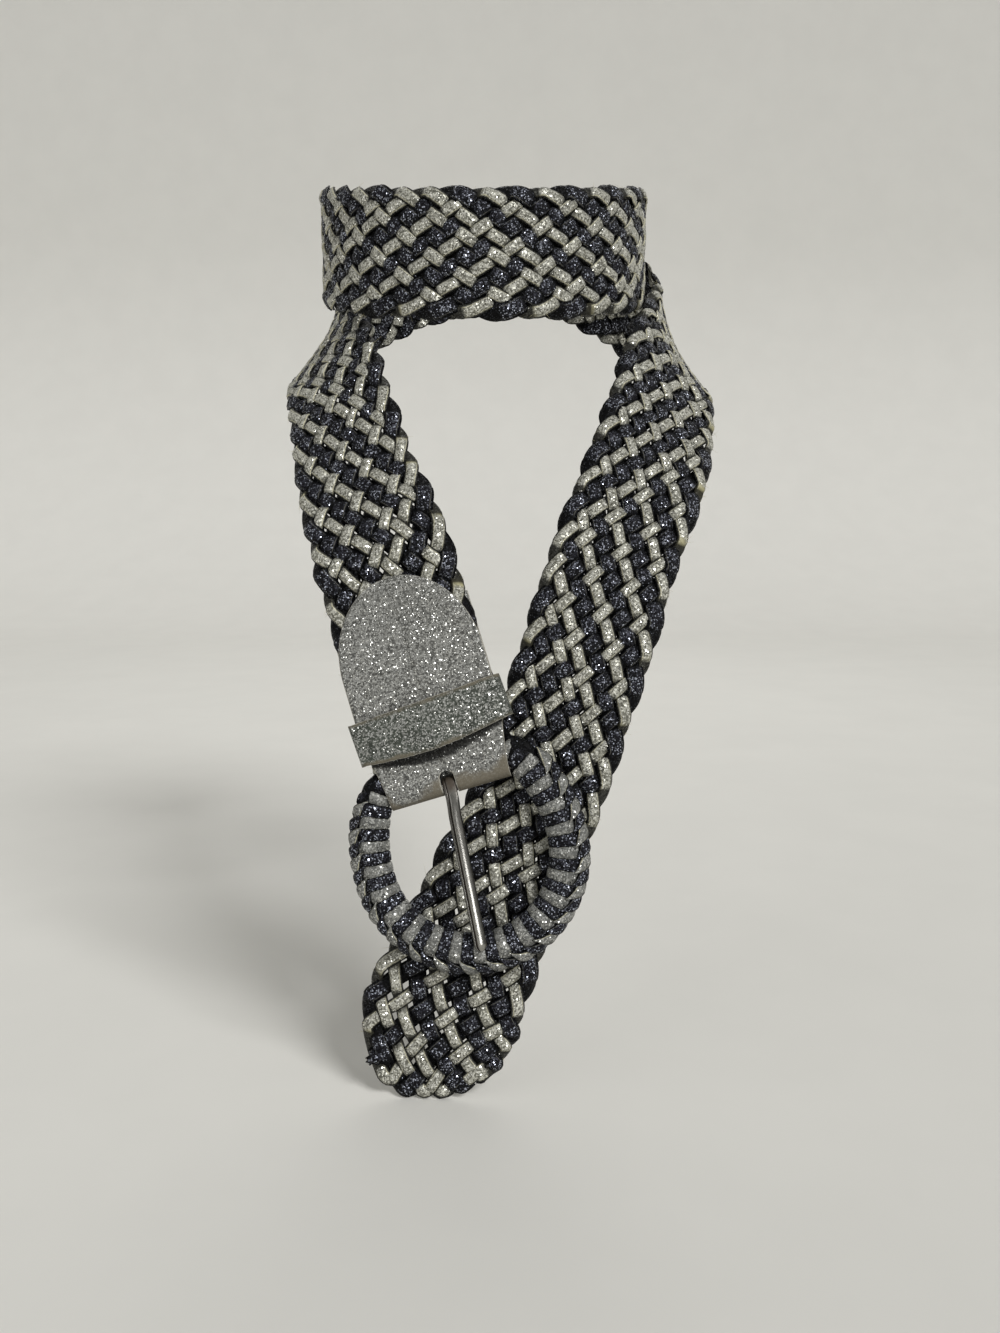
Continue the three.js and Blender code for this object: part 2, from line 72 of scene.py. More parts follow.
# Sizes that the solids share, in metres
NECK_TURN_RADIUS = 68.5 * MM
TURN_STEP = 4.8 * MM
BAND_RISE = 40 * MM
STRAP_WIDTH = 50 * MM
TIP_LENGTH = 42 * MM
SHOULDER_REACH = 78 * MM
BAR_PLACE = np.array([-12.7, -118, -201]) * MM
TAIL_DROP = 112 * MM
BEHIND_BUCKLE = 7.3 * MM
BUCKLE_LEAN = math.radians(17)
CHEST_SLOPE = math.radians(10)
LEATHER = 1.3 * MM
FIT_GAP = 0.35 * MM
TAB_LENGTH = 84 * MM
TAB_WIDTH = 54 * MM
FOLD_WIDTH = 46 * MM
TAB_BACK_LENGTH = 68 * MM
TAB_ROUND_LENGTH = 33 * MM
TAB_FULL_WIDTH_FROM_BAR = 30 * MM
FOLD_INSIDE = 2.15 * MM
FOLD_OUTSIDE = FOLD_INSIDE + LEATHER
SLOT_TOP = FOLD_OUTSIDE + 2.2 * MM
SLOT_HALF_WIDTH = 2.75 * MM
STRAP_END_SETBACK = 8 * MM
KEEPER_WIDTH = 16 * MM
KEEPER_FROM_BAR = 25 * MM
KEEPER_TILT = math.radians(3)
KEEPER_BOW = 2.4 * MM
KEEPER_DROOP = 2.5 * MM
RING_RADIUS = 36.5 * MM
RING_HALF_WIDTH = 7.2 * MM
RING_HALF_DEPTH = 5 * MM
RING_CENTRE_FROM_BAR = 26.5 * MM
RING_UPPER_HEIGHT = 46.5 * MM
BAR_RADIUS = 1.8 * MM
PRONG_LENGTH = 61 * MM
PRONG_WIDTH = 4.8 * MM
PRONG_THICKNESS = 2.4 * MM
PRONG_SHEET = 1.1 * MM
PRONG_SKEW = math.radians(5)

# The buckle's own frame: along the bar, up the tab, out of its face
ALONG_BAR = np.array([math.cos(BUCKLE_LEAN), 0, math.sin(BUCKLE_LEAN)])
UP_TAB = np.array(
    [
        -math.sin(BUCKLE_LEAN) * math.cos(CHEST_SLOPE),
        math.sin(CHEST_SLOPE),
        math.cos(BUCKLE_LEAN) * math.cos(CHEST_SLOPE),
    ]
)
OUT_OF_FACE = np.cross(ALONG_BAR, UP_TAB)
BUCKLE_AXES = np.array([ALONG_BAR, UP_TAB, OUT_OF_FACE])
BUCKLE_TURN = math.degrees(math.atan2(OUT_OF_FACE[0], -OUT_OF_FACE[1]))
BUCKLE_LIFT = math.degrees(math.asin(OUT_OF_FACE[2]))

# Turns at the top: degrees round the axis from the front, strap layers out, swell as a share of the radius,
# rise as a share of BAND_RISE, tilt of the face in degrees
NECK_ROWS = np.array(
    [
        (-138, 0, 0, 0.42, 5),
        (-180, 0, 0, 0.74, 0),
        (-225, 0.1, 0, 0.8, 0),
        (-270, 0.4, 0, 0.5, 0),
        (-315, 0.6, 0, 0.15, 0),
        (-360, 0.7, 0, 0, 0),
        (-405, 0.85, 0, 0.15, 0),
        (-450, 1, 0, 0.5, 0),
        (-495, 1.15, 0, 0.78, 0),
        (-540, 1, 0.02, 0.76, 0),
        (-580, 1, 0.05, 0.55, 3),
    ]
)

# Over the shoulders and down the chest: shares of the reach, the forward and the drop of the bar, then
# the face's turn and tilt in degrees and the strap's spread
LEFT_ROWS = np.array(
    [
        (-0.645, 0.725, 0.435, -17, 27, 1.01),
        (-0.785, 0.525, 0.273, -38, 36, 0.97),
        (-0.875, 0.33, 0.182, -54, 40, 0.98),
        (-0.95, 0.08, 0.124, -72, 37, 1),
        (-0.935, -0.145, 0.075, -103, 27, 1),
    ]
)
RIGHT_ROWS = np.array(
    [
        (1.04, -0.2, 0.05, -616, 14, 1),
        (1.09, 0.08, 0.13, -645, 30, 1),
        (1.03, 0.31, 0.19, -668, 38, 1),
        (0.93, 0.525, 0.312, -690, 36, 1),
        (0.805, 0.69, 0.436, -708, 29, 1),
        (0.635, 0.81, 0.59, -714, 19, 1),
    ]
)

# Behind the buckle to the free end, in the buckle's frame: across, down and spread
TAIL_ROWS = np.array(
    [
        (1.3, -0.32, 1),
        (0.97, -0.11, 1),
        (0.62, 0.12, 1),
        (0.15, 0.35, 1.04),
        (-0.25, 0.56, 1.12),
        (-0.54, 0.71, 1.22),
        (-0.74, 0.86, 1.26),
        (-0.84, 0.99, 1.26),
    ]
)
TAB_STOPS = np.array([STRAP_END_SETBACK / TAB_LENGTH, 0.4, 0.75, 0.98, 1.13])

# Round a strip's section: place across, place through, how near it is to the cut edge, and how dark with
# painted shade. The foot is wider than the top, and its dark foot is painted shade in the gaps between strips
STRIP_SECTION = np.array(
    [
        (-1.42, -0.4, -1.5, 1.0),
        (-1.0, 0.25, 1.0, 0.0),
        (-0.95, 0.7, 0.85, 0.0),
        (0.0, 1.0, 0.0, 0.0),
        (0.95, 0.7, 0.85, 0.0),
        (1.0, 0.25, 1.0, 0.0),
        (1.42, -0.4, -1.5, 1.0),
        (1.0, -0.8, 0.6, 0.1),
        (0.0, -0.95, 0.1, 0.0),
        (-1.0, -0.8, 0.6, 0.1),
    ]
)
# A wound band's section in the same four columns; its foot and underside are painted full shade
BAND_SECTION = np.array(
    [
        (-1.06, -0.5, -1.0, 1.0),
        (-0.96, 0.35, 0.9, 0.1),
        (-0.86, 0.82, 0.3, 0.0),
        (0.0, 1.0, 0.0, 0.0),
        (0.86, 0.82, 0.3, 0.0),
        (0.96, 0.35, 0.9, 0.1),
        (1.06, -0.5, -1.0, 1.0),
        (0.6, -0.7, 0.3, 1.0),
        (0.0, -0.7, 0.1, 1.0),
        (-0.6, -0.7, 0.3, 1.0),
    ]
)
HAIR_SECTION = np.array([(-1.0, -0.6, 0.0), (0.0, 1.0, 0.0), (1.0, -0.6, 0.0), (0.0, -0.9, 0.0)])

# Glitter: cell size in metres, shares of dull and of bright flakes, and the flakes' tilt
SILVER_GRAIN = (0.6 * MM, 0.65, 0.42, 0.78)
CHARCOAL_GRAIN = (0.55 * MM, 0.5, 0.27, 0.85)
BAND_GRAIN = (0.6 * MM, 0.65, 0.42, 0.85)
TAB_GRAIN = (0.56 * MM, 0.66, 0.5, 0.58)
KEEPER_GRAIN = (0.54 * MM, 0.5, 0.28, 0.52)

# Places in millimetres where the strips' edges have frayed most
FRAYED_SPOTS = ((38.0, -112.0, -174.0), (-47.0, -124.0, -258.0), (10.0, -124.0, -262.0))


def unit(vectors):
    """Each vector divided by its length."""
    return vectors / np.maximum(np.linalg.norm(vectors, axis=-1, keepdims=True), 1e-12)


def ease(x, low=0.0, high=1.0):
    """Three times the square less twice the cube of the share of the way from low to high."""
    t = np.clip((x - low) / (high - low), 0, 1)
    return t * t * (3 - 2 * t)


def from_buckle(x, y, z):
    """Places in the buckle's frame, moved to the bar and turned with it."""
    local = np.stack(np.broadcast_arrays(x, y, z), axis=-1)
    return BAR_PLACE + local @ BUCKLE_AXES


def wander(shape, seed, waves=5):
    """Slow waves from -1 to 1 along each row: a sum of sines of the row's own random phases."""
    source = np.random.default_rng(seed)
    rows, count = shape
    x = np.arange(count) / count
    total = np.zeros(shape)
    for rank in range(waves):
        rate = source.uniform(0.6, 1.4, (rows, 1)) * 2 ** (rank + 2)
        phase = source.uniform(0, 2 * np.pi, (rows, 1))
        total += np.sin(2 * np.pi * rate * x + phase)
    return total / math.sqrt(waves * 2)


class Route:
    """The strap's middle line and the way that its face points, from the tab to the free end."""

    def __init__(self):
        tab = TAB_STOPS * TAB_LENGTH
        tab_places = from_buckle(0 * tab, tab, 0 * tab)
        angle = np.radians(NECK_ROWS[:, 0])
        radius = NECK_TURN_RADIUS * (1 + NECK_ROWS[:, 2]) + NECK_ROWS[:, 1] * TURN_STEP
        neck_places = np.stack(
            [radius * np.sin(angle), -radius * np.cos(angle), NECK_ROWS[:, 3] * BAND_RISE], axis=1
        )
        reach = np.array([SHOULDER_REACH, BAR_PLACE[1], BAR_PLACE[2]])
        tail_across, tail_down, tail_spread = TAIL_ROWS.T
        tail_places = from_buckle(tail_across * STRAP_WIDTH, -tail_down * TAIL_DROP, -BEHIND_BUCKLE)
        self.places = np.vstack(
            [tab_places, LEFT_ROWS[:, :3] * reach, neck_places, RIGHT_ROWS[:, :3] * reach, tail_places]
        )
        tab_aim = np.tile([BUCKLE_TURN, BUCKLE_LIFT, TAB_WIDTH / STRAP_WIDTH], (len(tab), 1))
        neck_aim = np.column_stack([NECK_ROWS[:, 0], NECK_ROWS[:, 4], np.ones(len(NECK_ROWS))])
        level = np.ones(len(TAIL_ROWS))
        tail_aim = np.column_stack([level * (BUCKLE_TURN - 720), level * BUCKLE_LIFT, tail_spread])
        self.aims = np.vstack([tab_aim, LEFT_ROWS[:, 3:], neck_aim, RIGHT_ROWS[:, 3:], tail_aim])
        self.shares = np.linspace(0, 1, 1201)
        steps = np.linalg.norm(np.diff(self.curve(self.places, self.shares), axis=0), axis=1)
        self.lengths = np.concatenate([[0], np.cumsum(steps)])
        self.length = self.lengths[-1]

    @staticmethod
    def curve(points, share):
        """Cubic spans through the points; the slope at a point is half the step between its neighbours."""
        ends = np.vstack([2 * points[0] - points[1], points, 2 * points[-1] - points[-2]])
        place = np.clip(share, 0, 1) * (len(points) - 1)
        span = np.minimum(place.astype(int), len(points) - 2)
        w = (place - span)[:, None]
        a, b, c, d = (ends[span + k] for k in range(4))
        leaving, arriving = (c - a) / 2, (d - b) / 2
        cubic = (2 * b - 2 * c + leaving + arriving) * w**3
        return cubic + (3 * c - 3 * b - 2 * leaving - arriving) * w**2 + leaving * w + b

    def at(self, distance):
        """Middle, across and face directions and half width at distances from the start."""
        shape = np.shape(distance)
        share = np.interp(np.ravel(distance), self.lengths, self.shares)
        middle = self.curve(self.places, share)
        along = unit(self.curve(self.places, share + 1e-4) - self.curve(self.places, share - 1e-4))
        aim = self.curve(self.aims, share)
        turn, lift = np.radians(aim[:, 0]), np.radians(aim[:, 1])
        face = np.stack([np.sin(turn) * np.cos(lift), -np.cos(turn) * np.cos(lift), np.sin(lift)], axis=1)
        face = unit(face - along * np.sum(face * along, axis=1, keepdims=True))
        across = np.cross(face, along)
        wide = STRAP_WIDTH / 2 * aim[:, 2]
        return tuple(v.reshape(*shape, 3) for v in (middle, across, face)) + (wide.reshape(shape),)


ROUTE = Route()


def mesh_object(name, points, quads, finish, attributes=None):
    """An object at the origin from places and four-cornered faces, with its finish and point attributes."""
    points = np.asarray(points, dtype=np.float32).reshape(-1, 3)
    quads = np.asarray(quads, dtype=np.int32).reshape(-1, 4)
    mesh = bpy.data.meshes.new(name)
    mesh.vertices.add(len(points))
    mesh.vertices.foreach_set("co", points.ravel())
    mesh.loops.add(quads.size)
    mesh.loops.foreach_set("vertex_index", quads.ravel())
    mesh.polygons.add(len(quads))
    mesh.polygons.foreach_set("loop_start", np.arange(0, quads.size, 4, dtype=np.int32))
    mesh.polygons.foreach_set("loop_total", np.full(len(quads), 4, dtype=np.int32))
    mesh.polygons.foreach_set("use_smooth", np.ones(len(quads), dtype=bool))
    mesh.update(calc_edges=True)
    mesh.validate()
    for label, values in (attributes or {}).items():
        layer = mesh.attributes.new(label, "FLOAT", "POINT")
        layer.data.foreach_set("value", np.asarray(values, dtype=np.float32).ravel())
    mesh.materials.append(finish)
    made = bpy.data.objects.new(name, mesh)
    bpy.context.scene.collection.objects.link(made)
    return made


def sweep(paths, across, face, section, half_width, half_thick, closed=False):
    """A section carried along many paths at once.

    Point = path + across x section place x half width + face x section height x half thickness. Returns the
    points, the quads with flat ends, and the section's edge value for each point."""
    runs, count = paths.shape[:2]
    sides = len(section)
    wide = np.broadcast_to(half_width, (runs, count))[..., None, None]
    thick = np.broadcast_to(half_thick, (runs, count))[..., None, None]
    points = (
        paths[:, :, None, :]
        + across[:, :, None, :] * section[:, 0][:, None] * wide
        + face[:, :, None, :] * section[:, 1][:, None] * thick
    )
    ids = np.arange(runs * count * sides).reshape(runs, count, sides)
    here = ids if closed else ids[:, :-1]
    after = np.roll(ids, -1, axis=1) if closed else ids[:, 1:]
    walls = np.stack([here, np.roll(here, -1, axis=2), np.roll(after, -1, axis=2), after], axis=-1)
    parts = [walls.reshape(-1, 4)]
    if not closed:
        low = np.arange(sides // 2 - 1)
        cap = np.stack([low, low + 1, sides - 2 - low, sides - 1 - low], axis=-1)
        parts.append(ids[:, 0][:, cap[:, ::-1]].reshape(-1, 4))
        parts.append(ids[:, -1][:, cap].reshape(-1, 4))
    quads = outward(points.reshape(-1, 3), np.concatenate(parts))
    rim = np.broadcast_to(section[:, 2], (runs, count, sides))
    return points, quads, rim


def outward(points, quads):
    """The quads, turned over if the body's volume over them all comes out below nothing."""
    a, b, c, d = (points[quads[:, k]] for k in range(4))
    volume = np.sum(a * np.cross(b, c)) + np.sum(a * np.cross(c, d))
    return quads[:, ::-1] if volume < 0 else quads


def rolled(path, guide, roll=0.0):
    """Across and face directions of strips laid with their face towards guide, then rolled by an angle."""
    along = unit(np.gradient(path, axis=1))
    across = unit(np.cross(guide, along))
    face = np.cross(along, across)
    angle = np.broadcast_to(roll, path.shape[:2])[..., None]
    return (
        across * np.cos(angle) - face * np.sin(angle),
        face * np.cos(angle) + across * np.sin(angle),
    )


def slab(points, normals, thick, filled, around=False):
    """A sheet of even thickness over a grid of points and normals.

    Front point = point + half thickness x normal, rear point = point - the same. Walls close every edge
    between a filled cell and an empty one. Cells whose corners have met are left as they are."""
    rows, columns = points.shape[:2]
    both = np.concatenate([points + normals * thick / 2, points - normals * thick / 2]).reshape(-1, 3)
    ids = np.arange(rows * columns).reshape(rows, columns)
    back = rows * columns
    right = np.roll(ids, -1, axis=1)
    a, b, c, d = ids[:-1], ids[1:], right[1:], right[:-1]
    if not around:
        a, b, c, d = a[:, :-1], b[:, :-1], c[:, :-1], d[:, :-1]
    full = np.broadcast_to(filled, a.shape)
    front = np.stack([a, b, c, d], axis=-1)[full]
    rear = np.stack([d, c, b, a], axis=-1)[full] + back
    empty_row = np.zeros((1, a.shape[1]), dtype=bool)
    above = np.vstack([empty_row, full[:-1]])
    below = np.vstack([full[1:], empty_row])
    if around:
        before, after = np.roll(full, 1, axis=1), np.roll(full, -1, axis=1)
    else:
        empty_column = np.zeros((a.shape[0], 1), dtype=bool)
        before = np.hstack([empty_column, full[:, :-1]])
        after = np.hstack([full[:, 1:], empty_column])
    walls = []
    for start, end, beside in ((d, a, above), (b, c, below), (a, b, before), (c, d, after)):
        edge = full & ~beside
        p, q = start[edge], end[edge]
        walls.append(np.stack([q, p, p + back, q + back], axis=-1))
    quads = np.concatenate([front, rear, *walls])
    return both, outward(both, quads)


class Wire:
    """One output socket of a material. Arithmetic on it adds Math nodes."""

    def __init__(self, paper, socket):
        self.paper = paper
        self.socket = socket

    def math(self, operation, *values, clamp=False):
        """The outcome of a sum on wires or numbers."""
        settings = {"operation": operation, "use_clamp": clamp}
        return self.paper.node("ShaderNodeMath", settings, dict(enumerate(values)))

    def __add__(self, other):
        return self.math("ADD", self, other)

    __radd__ = __add__

    def __sub__(self, other):
        return self.math("SUBTRACT", self, other)

    def __rsub__(self, other):
        return self.math("SUBTRACT", other, self)

    def __mul__(self, other):
        return self.math("MULTIPLY", self, other)

    __rmul__ = __mul__

    def above(self, edge):
        """One where this is over the edge, nothing elsewhere."""
        return self.math("GREATER_THAN", self, edge)

    def held(self):
        """This, kept between nothing and one."""
        return self.math("ADD", self, 0, clamp=True)

    def between(self, low, high, start=0.0, end=1.0):
        """Eased from start to end while this goes from low to high."""
        settings = {"interpolation_type": "SMOOTHSTEP"}
        values = {"Value": self, 1: low, 2: high, 3: start, 4: end}
        return self.paper.node("ShaderNodeMapRange", settings, values)


class Paper:
    """A new material with one Principled shader, and the ways to add nodes to it."""

    def __init__(self, name, **fixed):
        self.material = bpy.data.materials.new(name)
        self.material.use_nodes = True
        self.tree = self.material.node_tree
        self.tree.nodes.clear()
        self.shader = self.tree.nodes.new("ShaderNodeBsdfPrincipled")
        out = self.tree.nodes.new("ShaderNodeOutputMaterial")
        self.tree.links.new(self.shader.outputs[0], out.inputs[0])
        for socket, value in fixed.items():
            self.shader.inputs[socket.replace("_", " ")].default_value = value

    def node(self, kind, settings=None, values=None, out=0):
        """Adds a node, sets it up, and feeds its inputs from wires or with numbers."""
        made = self.tree.nodes.new(kind)
        for key, value in (settings or {}).items():
            setattr(made, key, value)
        for key, value in (values or {}).items():
            if isinstance(value, Wire):
                self.tree.links.new(value.socket, made.inputs[key])
            else:
                made.inputs[key].default_value = value
        return Wire(self, made.outputs[out])

    def mix(self, factor, first, second):
        """A colour between two colours: first x (1 less factor) + second x factor."""
        colours = {6: self.opaque(first), 7: self.opaque(second)}
        return self.node("ShaderNodeMix", {"data_type": "RGBA"}, {0: factor, **colours}, out=2)

    @staticmethod
    def opaque(colour):
        """A wire as it is, or three numbers with a one after them."""
        return colour if isinstance(colour, Wire) else (*tuple(colour)[:3], 1.0)

    def vector(self, operation, *values):
        """The outcome of a sum on vectors."""
        return self.node("ShaderNodeVectorMath", {"operation": operation}, dict(enumerate(values)))

    def place(self):
        """The point's place in the object's own coordinates, in metres."""
        return self.node("ShaderNodeTexCoord", out="Object")

    def attribute(self, label):
        """A value that the mesh carries at its points."""
        return self.node("ShaderNodeAttribute", {"attribute_name": label}, out="Fac")

    def noise(self, scale, detail=3.0, vector=None):
        """Cloudy noise with so many waves in a metre."""
        values = {"Vector": vector or self.place(), "Scale": scale, "Detail": detail, "Roughness": 0.55}
        return self.node("ShaderNodeTexNoise", None, values)

    def cells(self, scale, out="Color"):
        """Cells round scattered seeds, so many in a metre: each cell's colour, or the seed's distance."""
        return self.node("ShaderNodeTexVoronoi", None, {"Vector": self.place(), "Scale": scale}, out)

    def part(self, colour, channel):
        """One channel of a colour."""
        return self.node("ShaderNodeSeparateColor", None, {0: colour}, out=channel)

    def feed(self, **wires):
        """Links each wire to the shader's input of that name, and hands over the material."""
        for socket, wire in wires.items():
            self.tree.links.new(wire.socket, self.shader.inputs[socket.replace("_", " ")])
        return self.material


def glitter_leather(name, ground, flake, glint, edge, backing, grain):
    """Leather coated with glitter: cells half a millimetre wide, each a flake with its own tilt and tone.

    ground, flake and glint are the colours between flakes, of dull flakes and of bright ones, edge is the
    colour of the cut edge and backing that of worn places, and grain holds the cell size in metres, the
    shares of flakes and of glints, and the tilt of the flakes."""
    paper = Paper(name, Specular_IOR_Level=0.15)
    cell, flake_share, glint_share, tilt = grain
    tone = paper.cells(1 / cell)
    first, second, third = (paper.part(tone, k) for k in range(3))
    near = paper.cells(1 / cell, out="Distance")
    round_flake = near.between(0.62, 0.4)
    rim = paper.attribute("rim")
    worn = paper.attribute("worn")
    cut = (rim + paper.noise(900) * 0.3).between(0.96, 1.1)
    patch = paper.noise(160, 4)
    # Bare places show the backing colour where the flakes are worn off; on the tab's fold they also stand for
    # painted shade on the fold's underside
    bare_and_shaded = (worn + patch * 0.9).between(0.95, 1.35)
    coated = (1 - cut) * (1 - bare_and_shaded * 0.75)
    dull = first.between(1 - flake_share, 1 - flake_share + 0.25) * coated
    sheen = paper.noise(430, 2)
    bright = (second + (sheen - 0.5) * 0.7).above(1 - glint_share) * round_flake * coated
    mottled = paper.mix(patch.between(0.3, 0.7), [0.72 * v for v in ground], [1.25 * v for v in ground])
    colour = paper.mix(dull * (0.35 + third * 0.65), mottled, flake)
    colour = paper.mix(bright, colour, glint)
    colour = paper.mix(bare_and_shaded * (1 - cut) * 0.75, colour, backing)
    frayed = paper.mix(paper.noise(1400, 2).between(0.3, 0.7), [0.6 * v for v in edge], edge)
    colour = paper.mix(cut, colour, frayed)
    # Painted shade: the shade attribute darkens the colour nearly to black at the strips' feet, the dived
    # ends of passes, the bands' feet and core, and on the tab under the keeper
    painted_shade = paper.attribute("shade").between(0.0, 0.6)
    colour = paper.mix(painted_shade * 0.92, colour, [0.05 * v for v in ground])
    lean = paper.vector("SUBTRACT", tone, (0.5, 0.5, 0.5))
    lean = paper.vector("SCALE", lean)
    paper.tree.links.new((tilt * coated).socket, lean.socket.node.inputs["Scale"])
    geometry = paper.node("ShaderNodeNewGeometry", out="Normal")
    leaning = paper.vector("NORMALIZE", paper.vector("ADD", geometry, lean))
    height = near * 0.5 * coated + patch * 0.5 + paper.noise(1400, 2) * cut
    bump = paper.node(
        "ShaderNodeBump", None, {"Strength": 0.35, "Distance": 0.00025, "Height": height, "Normal": leaning}
    )
    rough = 0.62 - dull * 0.18 - bright * 0.36 + cut * 0.25
    metal = (dull * 0.45 + bright * 0.5).held()
    return paper.feed(Base_Color=colour, Roughness=rough, Metallic=metal, Normal=bump)


def polished_steel(name, steel, stain, stain_from):
    """Rolled steel: fine scratches from stretched noise, brown above a level in the scene."""
    paper = Paper(name)
    stretched = paper.node(
        "ShaderNodeMapping", None, {"Vector": paper.place(), "Scale": (2200.0, 2200.0, 60.0)}
    )
    scratch = paper.noise(1.0, 4, vector=stretched)
    smear = paper.noise(260, 4)
    height = paper.node("ShaderNodeSeparateXYZ", None, {0: paper.place()}, out="Z")
    root = ((height - stain_from) * 90 + smear).between(0.55, 1.25)
    colour = paper.mix(scratch.between(0.25, 0.75), [0.8 * v for v in steel], steel)
    colour = paper.mix(smear.between(0.5, 0.8) * 0.35, colour, stain)
    colour = paper.mix(root * 0.9, colour, stain)
    # Painted shade: the groove attribute darkens the seam and both sides of the prong to a fifth of the stain
    # colour
    colour = paper.mix(paper.attribute("groove") * 0.85, colour, [0.2 * v for v in stain])
    bump = paper.node("ShaderNodeBump", None, {"Strength": 0.12, "Distance": 0.0001, "Height": scratch})
    rough = 0.13 + scratch * 0.14 + root * 0.25 + smear.between(0.5, 0.8) * 0.12
    metal = 1 - root * 0.45
    return paper.feed(Base_Color=colour, Roughness=rough, Metallic=metal, Normal=bump)


def charcoal_leather(name, braid):
    """Glitter leather in the charcoal strips' tones."""
    tones = (braid.charcoal_ground, braid.charcoal_flake, braid.charcoal_glint)
    return glitter_leather(name, *tones, braid.dark_edge, braid.dark_edge, CHARCOAL_GRAIN)


def frayed_fibre(name, colour):
    """Loose leather fibre: pale, rough, a little darker in patches."""
    paper = Paper(name, Roughness=0.85)
    patch = paper.noise(700, 2)
    return paper.feed(Base_Color=paper.mix(patch.between(0.3, 0.7), [0.7 * v for v in colour], colour))


def pale_floor(name, colour):
    """Matt floor paper with a very faint mottle."""
    paper = Paper(name, Roughness=0.9)
    patch = paper.noise(14, 3)
    return paper.feed(Base_Color=paper.mix(patch.between(0.2, 0.8), [0.97 * v for v in colour], colour))


def size(label, value, text):
    """A length property in metres."""
    return FloatProperty(name=label, description=text, default=value, min=0, unit="LENGTH", precision=5)


def hue(label, value, text):
    """A colour property."""
    return FloatVectorProperty(
        name=label, description=text, default=value, size=3, min=0, max=1, subtype="COLOR"
    )


class BraidSettings(PropertyGroup):
    strips: IntProperty(name="Strips", description="Number of interwoven strips", default=13, min=5, max=17)
    silver_width: size("Silver strip width", 3.9 * MM, "Width of a silver strip")
    charcoal_width: size("Charcoal strip width", 5.3 * MM, "Width of a charcoal strip")
    strip_thickness: size("Strip thickness", 1.3 * MM, "Thickness of one leather strip")
    phase: FloatProperty(name="Phase", description="Rows by which the strips start ahead", default=6.0)
    edge_pitch: size("Edge pitch", 12.6 * MM, "Length along an edge from one turned strip to the next")
    weave_depth: size("Weave depth", 0.95 * MM, "How far a strip rises over the strap's middle")
    silver_ground: hue("Silver ground", (0.17, 0.167, 0.138), "Between the silver flakes")
    silver_flake: hue("Silver flake", (0.62, 0.615, 0.54), "Dull flakes of the silver strips")
    silver_glint: hue("Silver glint", (0.95, 0.94, 0.86), "Bright flakes of the silver strips")
    charcoal_ground: hue("Charcoal ground", (0.0035, 0.0035, 0.005), "Between the charcoal flakes")
    charcoal_flake: hue("Charcoal flake", (0.04, 0.041, 0.053), "Dull flakes of the charcoal strips")
    charcoal_glint: hue("Charcoal glint", (0.5, 0.53, 0.62), "Bright flakes of the charcoal strips")
    cut_edge: hue("Cut edge", (0.72, 0.68, 0.47), "Cut edge and backing of the silver strips")
    backing: hue("Backing", (0.48, 0.44, 0.24), "Worn places of the silver strips")
    fibres: IntProperty(name="Fibres", description="Loose fibres on the worn edges", default=520, min=0)
    fibre_width: size("Fibre width", 0.13 * MM, "Width of a loose fibre at its root")
    fibre_colour: hue("Fibre colour", (0.62, 0.57, 0.36), "Loose fibres of the strips' backing")
    dark_edge: hue("Dark cut edge", (0.13, 0.127, 0.11), "Cut edge of the charcoal strips")


class TabSettings(PropertyGroup):
    ground: hue("Ground", (0.1, 0.1, 0.093), "Between the flakes of the tab and the keeper")
    flake: hue("Flake", (0.3, 0.3, 0.28), "Dull flakes of the tab and the keeper")
    glint: hue("Glint", (0.6, 0.6, 0.57), "Bright flakes of the tab and the keeper")
    edge: hue("Edge", (0.45, 0.43, 0.37), "Cut edges of the tab and the keeper")
    # The worn colour is also the painted shade on the tab's fold
    worn: hue("Worn", (0.17, 0.147, 0.105), "Leather where the flakes have rubbed off")
    keeper_ground: hue("Keeper ground", (0.06, 0.068, 0.056), "Between the flakes of the keeper")


class RingSettings(PropertyGroup):
    bands: IntProperty(name="Bands", description="Bands wound on the ring", default=42, min=20, max=80)
    band_thickness: size("Band thickness", 1.2 * MM, "Thickness of a wound band")
    reach: FloatProperty(name="Reach", description="Bands that a leaf of the ridge runs past", default=2.3)
    past_bar: size("Past the bar", 10.5 * MM, "How far the bands go on past the bar's ends")
    leaf_width: size("Leaf width", 3.8 * MM, "Width of a leaf of the plaited ridge")
    silver: hue("Silver", (0.14, 0.142, 0.134), "Ground of the silver bands")


class ProngSettings(PropertyGroup):
    steel: hue("Steel", (0.42, 0.41, 0.38), "Polished steel of the prong and the frame")
    stain: hue("Stain", (0.06, 0.042, 0.026), "Brown stain at the prong's root")


def seat(made, body, slot, *nodes):
    """Rides a finished piece on its body and hides the solids that it stands for; the slot is not used."""
    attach(made, body)
    if nodes:
        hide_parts(*nodes)
    return made


def softened(distance, rounding):
    """A distance from an edge, held off it: distance + (square root of (distance squared + rounding squared)
    less distance) x (1 less half of distance) squared."""
    return distance + (np.sqrt(distance**2 + rounding**2) - distance) * np.clip(1 - distance / 2, 0, 1) ** 2


def tab_half_width(height):
    """Half the folded leather's width at a height over the bar, eased from the fold's to the tab's."""
    opened = ease(height, -FOLD_OUTSIDE, TAB_FULL_WIDTH_FROM_BAR)
    return (FOLD_WIDTH + (TAB_WIDTH - FOLD_WIDTH) * opened) / 2


